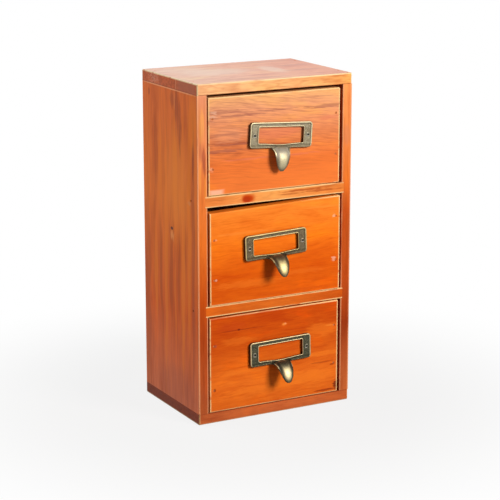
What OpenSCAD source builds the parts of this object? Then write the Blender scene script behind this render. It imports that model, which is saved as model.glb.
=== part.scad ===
// Desktop mini drawers: a board case with three drawers, each with a label pull.
// Origin: centre of the case's footprint, on the surface that it stands on.
// +Z is up and the drawers open towards -Y. Lengths are in millimetres, angles in degrees.
// Lists of three give the upper, middle and lower drawer in turn.

/* [Case] */
// Width across the case
case_w = 133; // [115:1:170]
// Depth from the front edges to the back edges
case_d = 95; // [80:1:130]
// Height of the case
case_h = 263; // [253:1:320]
// Thickness of the two side boards
side_t = 8; // [6.5:0.5:11]
// Thickness of the top board
top_t = 8.5; // [6.5:0.5:10]
// Thickness of the bottom board
bottom_t = 8.5; // [6.5:0.5:10]
// Thickness of the two dividers
divider_t = 8.5; // [6.5:0.5:9.5]
// Depth of the dadoes in the sides that hold the dividers
dado_depth = 1.8; // [1:0.1:3]
// Radius sanded on the outer edges of the case
case_edge_r = 1; // [0.5:0.1:2]
// Radius sanded on the front edges round the openings
opening_edge_r = 0.5; // [0.2:0.1:1]

/* [Back panel] */
// Thickness of the plywood back panel
panel_t = 3; // [2:0.5:4]
// Width of the rebates in the sides that the panel lies in
rebate_w = 4; // [2.5:0.5:5]
// Clearance round the panel
panel_fit = 0.2; // [0.1:0.1:0.5]

/* [Drawer boxes] */
// Gap between each drawer and the left side board
gap_left = 1; // [0.6:0.1:3]
// Gap between each drawer and the right side board
gap_right = 2.6; // [0.6:0.1:3]
// Running gap under each drawer
run_gap = 0.3; // [0.2:0.1:0.6]
// Gap between a closed drawer and the back panel
home_gap = 0.4; // [0.3:0.1:2]
// Thickness of the drawer sides
box_side_t = 7; // [5.5:0.5:9]
// Thickness of the drawer backs
box_back_t = 7; // [5:0.5:10]
// How far the drawer sides stop below the front's lowest top corner
box_drop = 4; // [1:0.5:6]
// Thickness of the plywood drawer bottoms
base_t = 3; // [2:0.5:4]
// Depth of the grooves that hold the drawer bottoms
groove_depth = 3; // [2:0.5:4]
// Height of the grooves above the drawer's lower edge
groove_up = 4; // [3:0.5:7]
// Clearance of a drawer bottom in its grooves
groove_fit = 0.2; // [0.1:0.1:0.4]

/* [Drawer fronts] */
// Thickness of the drawer fronts
front_t = 8; // [6:0.5:10]
// Radius sanded on the edges of the front faces
front_edge_r = 1; // [0.4:0.1:1.5]
// How far each closed front stands out of the case
front_proud = [0, 1.8, 0.6]; // [0:0.1:3]
// Gap over each front at its left end
top_gap_left = [2.2, 4.2, 1.3]; // [0.6:0.1:5]
// Gap over each front at its right end
top_gap_right = [2.2, 1.2, 0.7]; // [0.6:0.1:5]

/* [Pulls] */
// Width of the label plate
plate_w = 53.4; // [50:0.2:60]
// Height of the label plate
plate_h = 19.6; // [18:0.2:24]
// Thickness of the plate over its rims
plate_t = 2.8; // [2.2:0.1:3.6]
// Radius of the plate's corners
plate_r = 2.4; // [1.6:0.1:4]
// Width of the label window
window_w = 39; // [34:0.5:40]
// Height of the label window
window_h = 12.5; // [9:0.5:13.5]
// Radius of the window's corners
window_r = 0.8; // [0.4:0.1:2]
// Width of the raised rims round the plate and round the window
rim_w = 1.1; // [0.8:0.1:1.3]
// Height of the rims over the land between them
rim_h = 0.5; // [0.2:0.1:0.8]
// Width of the card slot behind the window
slot_w = 42; // [40:0.5:42.5]
// Depth of the card slot behind the window
slot_t = 0.8; // [0.5:0.1:1]
// Margin of the card slot under the window
slot_lip = 1.2; // [0.6:0.1:1.6]
// How far each plate's centre stands to the right of its front's centre
pull_right = [4, -1.2, 3.9]; // [-8:0.1:8]
// Height of each plate's centre above its drawer's floor
pull_up = [42.1, 43.1, 42.4]; // [36:0.1:48]
// Turn of each plate in the plane of its front, right end up
pull_turn = [-3.3, 2.2, 1.2]; // [-4:0.1:4]

/* [Finger tongues] */
// How far a tongue reaches out from its root
tongue_reach = 13.6; // [10:0.2:16]
// How far a tongue drops below its root
tongue_drop = 15.3; // [12:0.1:18]
// Half of a tongue's width at its root
tongue_half_w = 7.3; // [5:0.1:9]
// Share of its width that a tongue loses on the way to its tip
tongue_taper = 0.22; // [0:0.02:0.5]
// How far a tongue's edges lie behind its crown
tongue_crown = 2.2; // [1:0.1:3]
// Thickness of a tongue's shell
tongue_t = 1.6; // [1:0.1:2]
// Extra downward bend of each tongue at its root
tongue_bend = [22, 0, 0]; // [0:1:24]

/* [Screws and nails] */
// Distance between the two screws of a pull
screw_spacing = 46; // [45:0.1:47]
// Radius of a screw's head
screw_head_r = 1.8; // [1.4:0.1:2]
// Height of a screw's head
screw_head_h = 0.9; // [0.6:0.1:1.2]
// Radius of a screw's shank
screw_r = 1; // [0.7:0.1:1.2]
// Length of a screw under its head
screw_l = 8; // [5:0.5:8]
// Radius of a brad
brad_r = 0.6; // [0.4:0.05:0.7]
// Radius of a brad's head
brad_head_r = 0.9; // [0.8:0.05:1.1]
// Thickness of a brad's head
brad_head_t = 0.6; // [0.4:0.1:1]
// Length of a brad
brad_l = 18; // [14:1:20]
// Length of a panel pin
pin_l = 9; // [7:0.5:11]
// Clearance round the brads, pins and screws
nail_fit = 0.05; // [0.03:0.01:0.1]
// Height of each front's lower left brad above the drawer's floor
brad_low_left = [20.3, 20.2, 17.5]; // [14:0.1:30]
// Height of each front's upper left brad above the drawer's floor
brad_high_left = [58.3, 51.2, 53]; // [45:0.1:60]
// Height of each front's lower right brad above the drawer's floor
brad_low_right = [22.8, 24.2, 24.5]; // [14:0.1:30]
// Height of each front's upper right brad above the drawer's floor
brad_high_right = [54.8, 59, 55.5]; // [45:0.1:60]
// Distance from the case's front edges to the brads in the ends of the dividers
divider_brad_in = [11.5, 9]; // [6:0.5:30]
// Distance from a board's ends to the brads and pins along it
nail_margin = 14; // [9:0.5:20]

/* [Hidden] */
UPPER = 0;
MIDDLE = 1;
LOWER = 2;
LEFT = -1;
RIGHT = 1;

// Colours of the finishes
top_colour = [0.93, 0.68, 0.45];
case_colour = [0.72, 0.36, 0.17];
divider_colour = [0.90, 0.52, 0.22];
front_colour = [[0.93, 0.52, 0.27], [0.94, 0.44, 0.09], [0.83, 0.34, 0.08]];
box_colour = [0.85, 0.60, 0.36];
plywood_colour = [0.80, 0.66, 0.46];
brass_colour = [0.52, 0.50, 0.40];
screw_colour = [0.35, 0.33, 0.27];
steel_colour = [0.45, 0.42, 0.40];

// Overlap of a cutter past the face that it opens
past = 1;
arc_fn = 48;

// The case's inside
front_edge_y = -case_d / 2;
back_edge_y = case_d / 2;
opening_w = case_w - 2 * side_t;
opening_x = side_t - case_w / 2;
opening_h = (case_h - top_t - bottom_t - 2 * divider_t) / 3;
side_h = case_h - top_t - bottom_t;
panel_y = back_edge_y - panel_t;
bay_pitch = opening_h + divider_t;
function floor_z(i) = bottom_t + (LOWER - i) * bay_pitch;
function divider_z(i) = floor_z(i) - divider_t;

// The drawers
box_w = opening_w - gap_left - gap_right;
box_x = opening_x + gap_left;
inner_w = box_w - 2 * box_side_t;
inner_x = box_x + box_side_t;
box_end_y = panel_y - home_gap;
base_top = groove_up + base_t + groove_fit;
function drawer_z(i) = floor_z(i) + run_gap;
function face_y(i) = front_edge_y - front_proud[i];
function box_y(i) = face_y(i) + front_t;
function left_h(i) = opening_h - run_gap - top_gap_left[i];
function right_h(i) = opening_h - run_gap - top_gap_right[i];
function box_h(i) = min(left_h(i), right_h(i)) - box_drop;
function pull_x(i) = box_x + box_w / 2 + pull_right[i];

// A tongue springs from the middle of the plate's lower bar, inside the plate
land_t = plate_t - rim_h;
bar_h = (plate_h - window_h) / 2;
root_z = -window_h / 2;
root_out = land_t - 0.5;
tongue_sweep = 92;
tip_share = 0.985;
tongue_rings = 14;
tongue_cols = 10;
round_power = 4;
crown_power = 0.7;
ring_spread = 1.5;

// ---- outlines ----

// The waste outside a quarter circle, in the corner at the origin
module corner_waste(r) {
  difference() {
    translate([-past, -past]) square(r + past);
    translate([r, r]) circle(r, $fn = arc_fn);
  }
}

// A rectangle from the origin with all four corners rounded
module rounded_rect(w, h, r) {
  difference() {
    square([w, h]);
    corner_waste(r);
    translate([w, 0]) mirror([1, 0]) corner_waste(r);
    translate([0, h]) mirror([0, 1]) corner_waste(r);
    translate([w, h]) mirror([1, 0]) mirror([0, 1]) corner_waste(r);
  }
}

module centred_rounded_rect(w, h, r) {
  translate([-w / 2, -h / 2]) rounded_rect(w, h, r);
}

// A rectangle whose two corners on its left edge are rounded
module eased_rect(w, h, r) {
  difference() {
    square([w, h]);
    corner_waste(r);
    translate([0, h]) mirror([0, 1]) corner_waste(r);
  }
}

// Extrudes an outline drawn in Y and Z along +X
module along_x(length) {
  rotate([90, 0, 90]) linear_extrude(length) children();
}

// ---- brads, pins and screws: each points down -Z from a head at the origin ----

module brad(length, fit = 0, open = 0) {
  translate([0, 0, -length - fit]) cylinder(r = brad_r + fit, h = length + fit, $fn = arc_fn);
  translate([0, 0, -brad_head_t - fit])
    cylinder(r = brad_head_r + fit, h = brad_head_t + fit + open, $fn = arc_fn);
}

module at_face(point, turn) {
  translate(point) rotate(turn) children();
}

// Brads down through the top board and up through the bottom board into the sides
module at_board_brads(up) {
  for (side = [LEFT, RIGHT], y = [front_edge_y + nail_margin, back_edge_y - nail_margin])
    at_face([side * (case_w - side_t) / 2, y, up ? case_h : 0], [up ? 0 : 180, 0, 0]) children();
}

// Brads through a side board into the ends of the dividers
module at_divider_brads(side) {
  for (i = [UPPER, MIDDLE])
    at_face(
      [side * case_w / 2, front_edge_y + divider_brad_in[i], divider_z(i) + divider_t / 2],
      [0, side * 90, 0]
    ) children();
}

// Pins through the back panel into the rebates and into the dividers
module at_rebate_pins() {
  for (side = [LEFT, RIGHT], z = [bottom_t + nail_margin, case_h / 2, case_h - top_t - nail_margin])
    at_face([side * (opening_w + rebate_w) / 2, back_edge_y, z], [-90, 0, 0]) children();
}

module at_divider_pins() {
  for (i = [UPPER, MIDDLE], x = [-opening_w / 4, opening_w / 4])
    at_face([x, back_edge_y, divider_z(i) + divider_t / 2], [-90, 0, 0]) children();
}

// Brads through a drawer's front into the ends of its sides
module at_front_brads(i) {
  left_x = box_x + box_side_t / 2;
  right_x = box_x + box_w - box_side_t / 2;
  for (z = [brad_low_left[i], brad_high_left[i]])
    at_face([left_x, face_y(i), floor_z(i) + z], [90, 0, 0]) children();
  for (z = [brad_low_right[i], brad_high_right[i]])
    at_face([right_x, face_y(i), floor_z(i) + z], [90, 0, 0]) children();
}

// Brads through a drawer's sides into the ends of its back
module at_back_brads(i) {
  for (side = [LEFT, RIGHT], z = [base_top + nail_margin, box_h(i) - nail_margin])
    at_face(
      [box_x + (side + 1) / 2 * box_w, box_end_y - box_back_t / 2, drawer_z(i) + z],
      [0, side * 90, 0]
    ) children();
}

// A pull's own frame: X along the plate, -Y out of the drawer's front, Z up
module at_pull(i) {
  translate([pull_x(i), face_y(i), floor_z(i) + pull_up[i]]) rotate([0, -pull_turn[i], 0]) children();
}

module at_screws() {
  for (side = [LEFT, RIGHT])
    translate([side * screw_spacing / 2, -land_t, 0]) rotate([90, 0, 0]) children();
}

module screw_shank(fit = 0) {
  translate([0, 0, -screw_l - fit]) cylinder(r = screw_r + fit, h = screw_l + fit + past / 2, $fn = arc_fn);
}

// ---- case ----

// The whole case as one sanded block, which each outer board is cut from
module case_block() {
  translate([-case_w / 2, front_edge_y, 0]) intersection() {
    linear_extrude(case_h) rounded_rect(case_w, case_d, case_edge_r);
    translate([0, case_d, 0]) rotate([90, 0, 0])
      linear_extrude(case_d) rounded_rect(case_w, case_h, case_edge_r);
    along_x(case_w) rounded_rect(case_d, case_h, case_edge_r);
  }
}

module top_board() {
  color(top_colour) difference() {
    intersection() {
      translate([-case_w / 2, front_edge_y, case_h - top_t]) cube([case_w, case_d, top_t]);
      case_block();
    }
    at_board_brads(true) brad(brad_l, nail_fit, past);
  }
}

module bottom_board() {
  color(case_colour) difference() {
    intersection() {
      translate([-case_w / 2, front_edge_y, 0]) cube([case_w, case_d, bottom_t]);
      case_block();
    }
    at_board_brads(false) brad(brad_l, nail_fit, past);
  }
}

// A side board: dadoes for the dividers and a rebate for the panel in its inner face
module side_board(side) {
  color(case_colour) difference() {
    intersection() {
      translate([side * (opening_w / 2), front_edge_y, bottom_t]) mirror([side == LEFT ? 1 : 0, 0, 0])
        linear_extrude(side_h) difference() {
          square([side_t, case_d]);
          corner_waste(opening_edge_r);
        }
      case_block();
    }
    for (i = [UPPER, MIDDLE])
      translate([-opening_w / 2 - dado_depth, front_edge_y - past, divider_z(i)])
        cube([opening_w + 2 * dado_depth, case_d - panel_t + past, divider_t]);
    translate([-opening_w / 2 - rebate_w, panel_y, 0]) cube([opening_w + 2 * rebate_w, panel_t + past, case_h]);
    at_board_brads(true) brad(brad_l, nail_fit);
    at_board_brads(false) brad(brad_l, nail_fit);
    at_divider_brads(side) brad(brad_l, nail_fit, past);
    at_rebate_pins() brad(pin_l, nail_fit);
  }
}

module divider(i) {
  color(divider_colour) difference() {
    translate([-opening_w / 2 - dado_depth, front_edge_y, divider_z(i)])
      along_x(opening_w + 2 * dado_depth) eased_rect(case_d - panel_t, divider_t, opening_edge_r);
    for (side = [LEFT, RIGHT])
      at_divider_brads(side) brad(brad_l, nail_fit);
    at_divider_pins() brad(pin_l, nail_fit);
  }
}

module back_panel() {
  panel_w = opening_w + 2 * (rebate_w - panel_fit);
  color(plywood_colour) difference() {
    translate([-panel_w / 2, panel_y, bottom_t + panel_fit])
      cube([panel_w, panel_t, side_h - 2 * panel_fit]);
    at_rebate_pins() brad(pin_l, nail_fit, past);
    at_divider_pins() brad(pin_l, nail_fit, past);
  }
}

module case_brads() {
  color(steel_colour) {
    at_board_brads(true) brad(brad_l);
    at_board_brads(false) brad(brad_l);
    for (side = [LEFT, RIGHT])
      at_divider_brads(side) brad(brad_l);
  }
}

module panel_pins() {
  color(steel_colour) {
    at_rebate_pins() brad(pin_l);
    at_divider_pins() brad(pin_l);
  }
}

// ---- drawers ----

// The space that a drawer's base takes, with the clearance of its grooves
module base_block(i, fit) {
  translate([
    inner_x - groove_depth + groove_fit - fit,
    box_y(i) - groove_depth + groove_fit - fit,
    drawer_z(i) + groove_up + groove_fit / 2 - fit / 2
  ]) cube([
    inner_w + 2 * (groove_depth - groove_fit + fit),
    box_end_y - box_y(i) + groove_depth - groove_fit + fit + (fit > 0 ? past : 0),
    base_t + fit
  ]);
}

// A front: its top edge slopes by as much as the gaps over it differ
module drawer_front(i) {
  slope = atan((right_h(i) - left_h(i)) / box_w);
  tall = max(left_h(i), right_h(i)) + past;
  color(front_colour[i]) difference() {
    translate([box_x, face_y(i), drawer_z(i)]) intersection() {
      translate([0, 0, 0]) linear_extrude(tall) difference() {
        square([box_w, front_t]);
        corner_waste(front_edge_r);
        translate([box_w, 0]) mirror([1, 0]) corner_waste(front_edge_r);
      }
      along_x(box_w) difference() {
        square([front_t, tall]);
        corner_waste(front_edge_r);
      }
      translate([0, 0, left_h(i)]) rotate([0, -slope, 0]) translate([-past, 0, -tall])
        along_x(box_w + 2 * past) difference() {
          square([front_t, tall]);
          translate([0, tall]) mirror([0, 1]) corner_waste(front_edge_r);
        }
    }
    base_block(i, groove_fit);
    at_front_brads(i) brad(brad_l, nail_fit, past);
    at_pull(i) at_screws() screw_shank(nail_fit);
  }
}

module drawer_side(i, side) {
  x = side == LEFT ? box_x : box_x + box_w - box_side_t;
  color(box_colour) difference() {
    translate([x, box_y(i), drawer_z(i)]) cube([box_side_t, box_end_y - box_y(i), box_h(i)]);
    base_block(i, groove_fit);
    at_front_brads(i) brad(brad_l, nail_fit);
    at_back_brads(i) brad(brad_l, nail_fit, past);
  }
}

// A back stands on the base, between the two sides
module drawer_back(i) {
  color(box_colour) difference() {
    translate([inner_x, box_end_y - box_back_t, drawer_z(i) + base_top])
      cube([inner_w, box_back_t, box_h(i) - base_top]);
    at_back_brads(i) brad(brad_l, nail_fit);
  }
}

module drawer_base(i) {
  color(plywood_colour) base_block(i, 0);
}

module drawer_brads(i) {
  color(steel_colour) {
    at_front_brads(i) brad(brad_l);
    at_back_brads(i) brad(brad_l);
  }
}

// ---- pulls ----

// Points of a tongue's shell: t runs from the root to the tip, u across from -1 to 1,
// and depth is how far the point lies under the outer surface
function ring_t(j) = tip_share * (1 - pow(1 - j / tongue_rings, ring_spread));
function tongue_w(t) = tongue_half_w * (1 - tongue_taper * t) * sqrt(1 - pow(t, round_power));
function tongue_normal(phi) =
  let (n = [tongue_drop * sin(phi), tongue_reach * cos(phi)]) n / norm(n);
function tongue_sag(t, u) =
  tongue_crown * tongue_w(t) / tongue_half_w * (1 - pow(1 - u * u, crown_power));
function tongue_point(i, t, u, depth) =
  let (
    phi = t * tongue_sweep,
    back = tongue_normal(phi) * (tongue_sag(t, u) + depth),
    out = tongue_reach * sin(phi) - back[0],
    up = -tongue_drop * (1 - cos(phi)) - back[1],
    bend = tongue_bend[i]
  )
  [
    u * tongue_w(t),
    -root_out - out * cos(bend) - up * sin(bend),
    root_z - out * sin(bend) + up * cos(bend)
  ];

// Each ring goes once round the shell: over the crown and back along the inside
function tongue_ring(i, t) = concat(
  [for (k = [0:tongue_cols]) tongue_point(i, t, 2 * k / tongue_cols - 1, 0)],
  [for (k = [tongue_cols:-1:0]) tongue_point(i, t, 2 * k / tongue_cols - 1, tongue_t)]
);

module tongue(i) {
  ring_n = 2 * (tongue_cols + 1);
  points = [for (j = [0:tongue_rings]) each tongue_ring(i, ring_t(j))];
  walls = [
    for (j = [0:tongue_rings - 1], k = [0:ring_n - 1])
      let (
        a = j * ring_n + k,
        b = j * ring_n + (k + 1) % ring_n,
        c = a + ring_n,
        d = b + ring_n
      )
      each [[a, b, d], [a, d, c]]
  ];
  caps = [
    for (j = [0, tongue_rings], k = [0:tongue_cols - 1])
      let (
        first = j * ring_n,
        a = first + k,
        b = first + k + 1,
        c = first + ring_n - 2 - k,
        d = first + ring_n - 1 - k
      )
      each (j == 0 ? [[a, c, b], [a, d, c]] : [[a, b, c], [a, c, d]])
  ];
  polyhedron(points, concat(walls, caps));
}

// A pull: a plate with a window and raised rims, a card slot behind, and the tongue
module pull(i) {
  color(brass_colour) at_pull(i) difference() {
    union() {
      rotate([90, 0, 0]) difference() {
        linear_extrude(plate_t) centred_rounded_rect(plate_w, plate_h, plate_r);
        translate([0, 0, land_t]) linear_extrude(rim_h + past) difference() {
          centred_rounded_rect(plate_w - 2 * rim_w, plate_h - 2 * rim_w, plate_r - rim_w);
          centred_rounded_rect(window_w + 2 * rim_w, window_h + 2 * rim_w, window_r + rim_w);
        }
        translate([0, 0, -past]) linear_extrude(plate_t + 2 * past)
          centred_rounded_rect(window_w, window_h, window_r);
        translate([-slot_w / 2, -window_h / 2 - slot_lip, -past])
          cube([slot_w, plate_h, slot_t + past]);
      }
      tongue(i);
    }
    at_screws() screw_shank(nail_fit);
  }
}

// A screw: a domed head with a crossed recess, which sits on the plate's land
module screw() {
  dome_r = (screw_head_r * screw_head_r + screw_head_h * screw_head_h) / (2 * screw_head_h);
  recess_w = screw_head_r / 4;
  recess_l = screw_head_r * 1.2;
  difference() {
    intersection() {
      translate([0, 0, screw_head_h - dome_r]) sphere(dome_r, $fn = arc_fn);
      cylinder(r = screw_head_r, h = screw_head_h + past, $fn = arc_fn);
    }
    for (turn = [45, 135])
      rotate(turn) translate([-recess_l / 2, -recess_w / 2, screw_head_h / 3]) cube([recess_l, recess_w, past]);
  }
  translate([0, 0, -screw_l]) cylinder(r = screw_r, h = screw_l, $fn = arc_fn);
}

module pull_screws(i) {
  color(screw_colour) at_pull(i) at_screws() screw();
}

top_board();
bottom_board();
side_board(LEFT);  // left_side
side_board(RIGHT);  // right_side
divider(UPPER);  // upper_divider
divider(MIDDLE);  // lower_divider
back_panel();
case_brads();
panel_pins();

drawer_front(UPPER);  // upper_front
drawer_side(UPPER, LEFT);  // upper_left_side
drawer_side(UPPER, RIGHT);  // upper_right_side
drawer_back(UPPER);  // upper_back
drawer_base(UPPER);  // upper_base
drawer_brads(UPPER);  // upper_brads
pull(UPPER);  // upper_pull
pull_screws(UPPER);  // upper_screws

drawer_front(MIDDLE);  // middle_front
drawer_side(MIDDLE, LEFT);  // middle_left_side
drawer_side(MIDDLE, RIGHT);  // middle_right_side
drawer_back(MIDDLE);  // middle_back
drawer_base(MIDDLE);  // middle_base
drawer_brads(MIDDLE);  // middle_brads
pull(MIDDLE);  // middle_pull
pull_screws(MIDDLE);  // middle_screws

drawer_front(LOWER);  // lower_front
drawer_side(LOWER, LEFT);  // lower_left_side
drawer_side(LOWER, RIGHT);  // lower_right_side
drawer_back(LOWER);  // lower_back
drawer_base(LOWER);  // lower_base
drawer_brads(LOWER);  // lower_brads
pull(LOWER);  // lower_pull
pull_screws(LOWER);  // lower_screws
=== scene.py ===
"""Desktop mini drawers: a stained pine case with three drawers and antique brass label pulls.

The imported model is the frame: every board, brad and pull made here takes its place from one of its
nodes. Lengths are in metres. Patterns are written in millimetres, on Object coordinates.
"""

import math
from collections import namedtuple
from dataclasses import dataclass

import bmesh
import bpy
from bpy.props import FloatProperty, FloatVectorProperty, PointerProperty
from mathutils import Matrix, Vector


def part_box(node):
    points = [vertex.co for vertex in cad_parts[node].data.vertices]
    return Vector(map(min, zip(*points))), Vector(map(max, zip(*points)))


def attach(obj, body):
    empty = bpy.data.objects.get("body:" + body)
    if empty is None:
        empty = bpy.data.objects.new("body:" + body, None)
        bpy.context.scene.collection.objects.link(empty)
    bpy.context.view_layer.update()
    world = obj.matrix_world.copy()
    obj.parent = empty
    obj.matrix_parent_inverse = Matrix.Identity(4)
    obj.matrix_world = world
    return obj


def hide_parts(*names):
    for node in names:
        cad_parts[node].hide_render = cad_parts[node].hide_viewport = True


bl_info = {
    "name": "Desktop Mini Drawers",
    "version": (1, 0, 0),
    "blender": (4, 5, 0),
    "location": "3D View > Sidebar > Drawers",
    "description": "Builds a stained pine case with three drawers and antique brass label pulls",
    "category": "Add Mesh",
}

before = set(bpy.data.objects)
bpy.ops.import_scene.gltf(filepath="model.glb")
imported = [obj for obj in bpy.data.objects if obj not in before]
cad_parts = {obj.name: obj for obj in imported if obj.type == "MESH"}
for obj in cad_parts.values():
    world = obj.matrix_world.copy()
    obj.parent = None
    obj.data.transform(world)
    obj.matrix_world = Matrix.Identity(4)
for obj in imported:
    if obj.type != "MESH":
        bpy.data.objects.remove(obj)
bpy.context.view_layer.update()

MM = 0.001
X, Y, Z = 0, 1, 2
DRAWERS = ("upper", "middle", "lower")

CASE_LOW = Vector([min(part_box(n)[0][a] for n in ("left_side", "bottom_board")) for a in (X, Y, Z)])
CASE_HIGH = Vector([max(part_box(n)[1][a] for n in ("right_side", "top_board")) for a in (X, Y, Z)])
SIDE_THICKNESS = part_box("left_side")[1][X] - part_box("left_side")[0][X]


# ---- colours ----


def tone(red, green, blue):
    """A display colour from 0 to 255 as the linear colour that a shader takes."""
    shares = (red / 255, green / 255, blue / 255)
    return tuple(s / 12.92 if s < 0.04045 else ((s + 0.055) / 1.055) ** 2.4 for s in shares)


def ramp_stops(*rows):
    """A ramp's stops, each written as its place from 0 to 1 and a display colour."""
    return [(place, tone(*colour)) for place, *colour in rows]


def plain(colour):
    """The stops of a ramp that has one colour."""
    return [(0, colour), (1, colour)]


def colour_property(name, description, default):
    return FloatVectorProperty(
        name=name, description=description, default=default, size=3, min=0, max=1, subtype="COLOR"
    )


def length_property(name, description, millimetres):
    return FloatProperty(
        name=name, description=description, default=millimetres * MM, min=0, unit="LENGTH", precision=5
    )


def angle_property(name, description, degrees):
    return FloatProperty(
        name=name, description=description, default=math.radians(degrees), subtype="ANGLE"
    )


# ---- settings ----


class BoardSettings(bpy.types.PropertyGroup):
    """How the boards are sanded."""

    outer_edge: length_property("Outer edges", "Radius sanded on the case's outer edges", 1.0)
    opening_edge: length_property("Opening edges", "Radius sanded on the edges round the openings", 0.5)
    front_edge: length_property("Front edges", "Radius sanded on the faces of the drawer fronts", 1.0)
    joint_edge: length_property("Joint edges", "Radius left on edges that meet another board", 0.15)
    box_edge: length_property("Box edges", "Radius sanded on the boards of the drawer boxes", 0.4)
    brad_sink: length_property("Brad depth", "How far the brads are sunk below the wood", 0.3)
    hole_gap: length_property("Hole rim", "Width of the crushed rim round each brad", 0.06)


class WoodSettings(bpy.types.PropertyGroup):
    """The stains and the varnish, with the dark colour painted as shade inside the case and the pale
    edge colour that is partly a painted highlight.
    """

    # Pale edge colour: partly sanded-through stain, partly a painted highlight on the eased edges
    worn_edge_and_highlight: colour_property("Worn edge", "Wood where sanded edges show through", tone(255, 214, 150))
    knot: colour_property("Knot", "Heart of the knots", tone(120, 34, 10))
    # Inside: painted shade, a dark colour on the faces round the drawers' gaps
    inside: colour_property("Inside", "Stain on the faces inside the case", tone(150, 62, 30))
    box_wood: colour_property("Box wood", "Sides and backs of the drawer boxes", tone(222, 148, 84))
    plywood: colour_property("Plywood", "Drawer bottoms and the back panel", tone(206, 150, 96))
    varnish_roughness: FloatProperty(
        name="Varnish roughness", description="Roughness of the varnish", default=0.36, min=0.05, max=1
    )
    grain_depth: length_property("Grain depth", "Height of the grain in the varnish", 0.035)


class PullSettings(bpy.types.PropertyGroup):
    """The shape and metal of the pulls."""

    plate_width: length_property("Plate width", "Width of the label plate", 53.4)
    plate_height: length_property("Plate height", "Height of the label plate", 19.6)
    plate_depth: length_property("Plate depth", "Thickness of the plate over its rims", 2.8)
    plate_corner: length_property("Plate corner", "Radius of the plate's corners", 2.4)
    window_width: length_property("Window width", "Width of the label window", 39.0)
    window_height: length_property("Window height", "Height of the label window", 12.5)
    window_corner: length_property("Window corner", "Radius of the window's corners", 0.8)
    window_bow: length_property("Window bow", "How far the window's lower edge bows down", 0.9)
    rim_width: length_property("Rim width", "Width of the raised outer rim", 0.95)
    rim_height: length_property("Rim height", "Height of the rims over the land", 0.45)
    bead_width: length_property("Bead width", "Width of the raised bead round the window", 0.5)
    slot_width: length_property("Slot width", "Width of the card slot behind the window", 42.0)
    slot_depth: length_property("Slot depth", "Depth of the card slot", 0.8)
    slot_lip: length_property("Slot lip", "Margin of the card slot under the window", 1.2)
    tongue_reach: length_property("Tongue reach", "How far a tongue reaches out of its root", 13.3)
    tongue_drop: length_property("Tongue drop", "How far a tongue drops below its root", 15.8)
    tongue_half_width: length_property("Tongue half width", "Half of a tongue's width at its root", 7.3)
    tongue_flare: length_property("Tongue flare", "How far a tongue's root widens on each side", 2.2)
    tongue_crown: length_property("Tongue crown", "How far a tongue's edges lie behind its crown", 2.3)
    tongue_lip: length_property("Tongue lip", "Height of the lips along a tongue's upper edges", 0.6)
    tongue_thickness: length_property("Tongue thickness", "Thickness of a tongue's shell", 1.6)
    upper_bend: angle_property("Upper bend", "Extra downward bend of the upper tongue", 29)
    cast_grain: length_property("Cast grain", "Size of the cells that round the casting", 0.24)
    screw_rise: length_property("Screw rise", "Height of a screw's domed head", 0.9)
    steel: colour_property("Steel", "The case's brads and the panel pins", tone(112, 68, 46))
    stained_steel: colour_property("Stained steel", "The drawers' brads, stained", tone(206, 120, 66))


class StageSettings(bpy.types.PropertyGroup):
    """The camera, the lamps and the floor."""

    azimuth: angle_property("Azimuth", "Turn of the camera round the case", -28.47)
    elevation: angle_property("Elevation", "Camera's angle above the horizon", 13.79)
    distance: length_property("Distance", "From the camera to the case", 1377)
    aim_right: length_property("Aim right", "How far the camera aims right of the case's centre", 2.9)
    aim_below: length_property("Aim below", "How far the camera aims below the case's centre", 10.6)
    lens: FloatProperty(
        name="Focal length", description="Focal length in millimetres", default=125.64, min=10
    )
    key_power: FloatProperty(
        name="Key", description="Watts of the lamp in front, on the right", default=22.1, min=0
    )
    fill_power: FloatProperty(
        name="Fill", description="Watts of the lamp behind, on the left", default=16.8, min=0
    )
    sky_strength: FloatProperty(
        name="Sky", description="Strength of the even light", default=0.085, min=0
    )
    floor_colour: colour_property("Floor", "Colour of the floor", tone(170, 169, 167))


class DrawersSettings(bpy.types.PropertyGroup):
    """All the sizes and colours that a user would change."""

    boards: PointerProperty(type=BoardSettings)
    wood: PointerProperty(type=WoodSettings)
    pulls: PointerProperty(type=PullSettings)
    stage: PointerProperty(type=StageSettings)


def settings():
    return bpy.context.scene.mini_drawers


# ---- finishes: expressions on sockets ----


class Value:
    """A number that varies over a surface, with the arithmetic that the finishes need."""

    def __init__(self, finish, socket):
        self.finish = finish
        self.socket = socket

    def __add__(self, other):
        return self.finish.math("ADD", self, other)

    def __sub__(self, other):
        return self.finish.math("SUBTRACT", self, other)

    def __rsub__(self, other):
        return self.finish.math("SUBTRACT", other, self)

    def __mul__(self, other):
        return self.finish.math("MULTIPLY", self, other)

    def __truediv__(self, other):
        return self.finish.math("DIVIDE", self, other)

    def __rtruediv__(self, other):
        return self.finish.math("DIVIDE", other, self)

    def __pow__(self, other):
        return self.finish.math("POWER", self, other)

    def __abs__(self):
        return self.finish.math("ABSOLUTE", self)

    __radd__ = __add__
    __rmul__ = __mul__

    def lower(self, other):
        return self.finish.math("MINIMUM", self, other)

    def higher(self, other):
        return self.finish.math("MAXIMUM", self, other)

    def sine(self):
        return self.finish.math("SINE", self)

    def root(self):
        return self.finish.math("SQRT", self)

    def step(self, start, end):
        """0 at start and 1 at end, with a smooth rise between them."""
        node = self.finish.node(
            "MapRange",
            {"interpolation_type": "SMOOTHSTEP"},
            {"Value": self, "From Min": start, "From Max": end, "To Min": 0, "To Max": 1},
        )
        return Value(self.finish, node.outputs[0])


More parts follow.
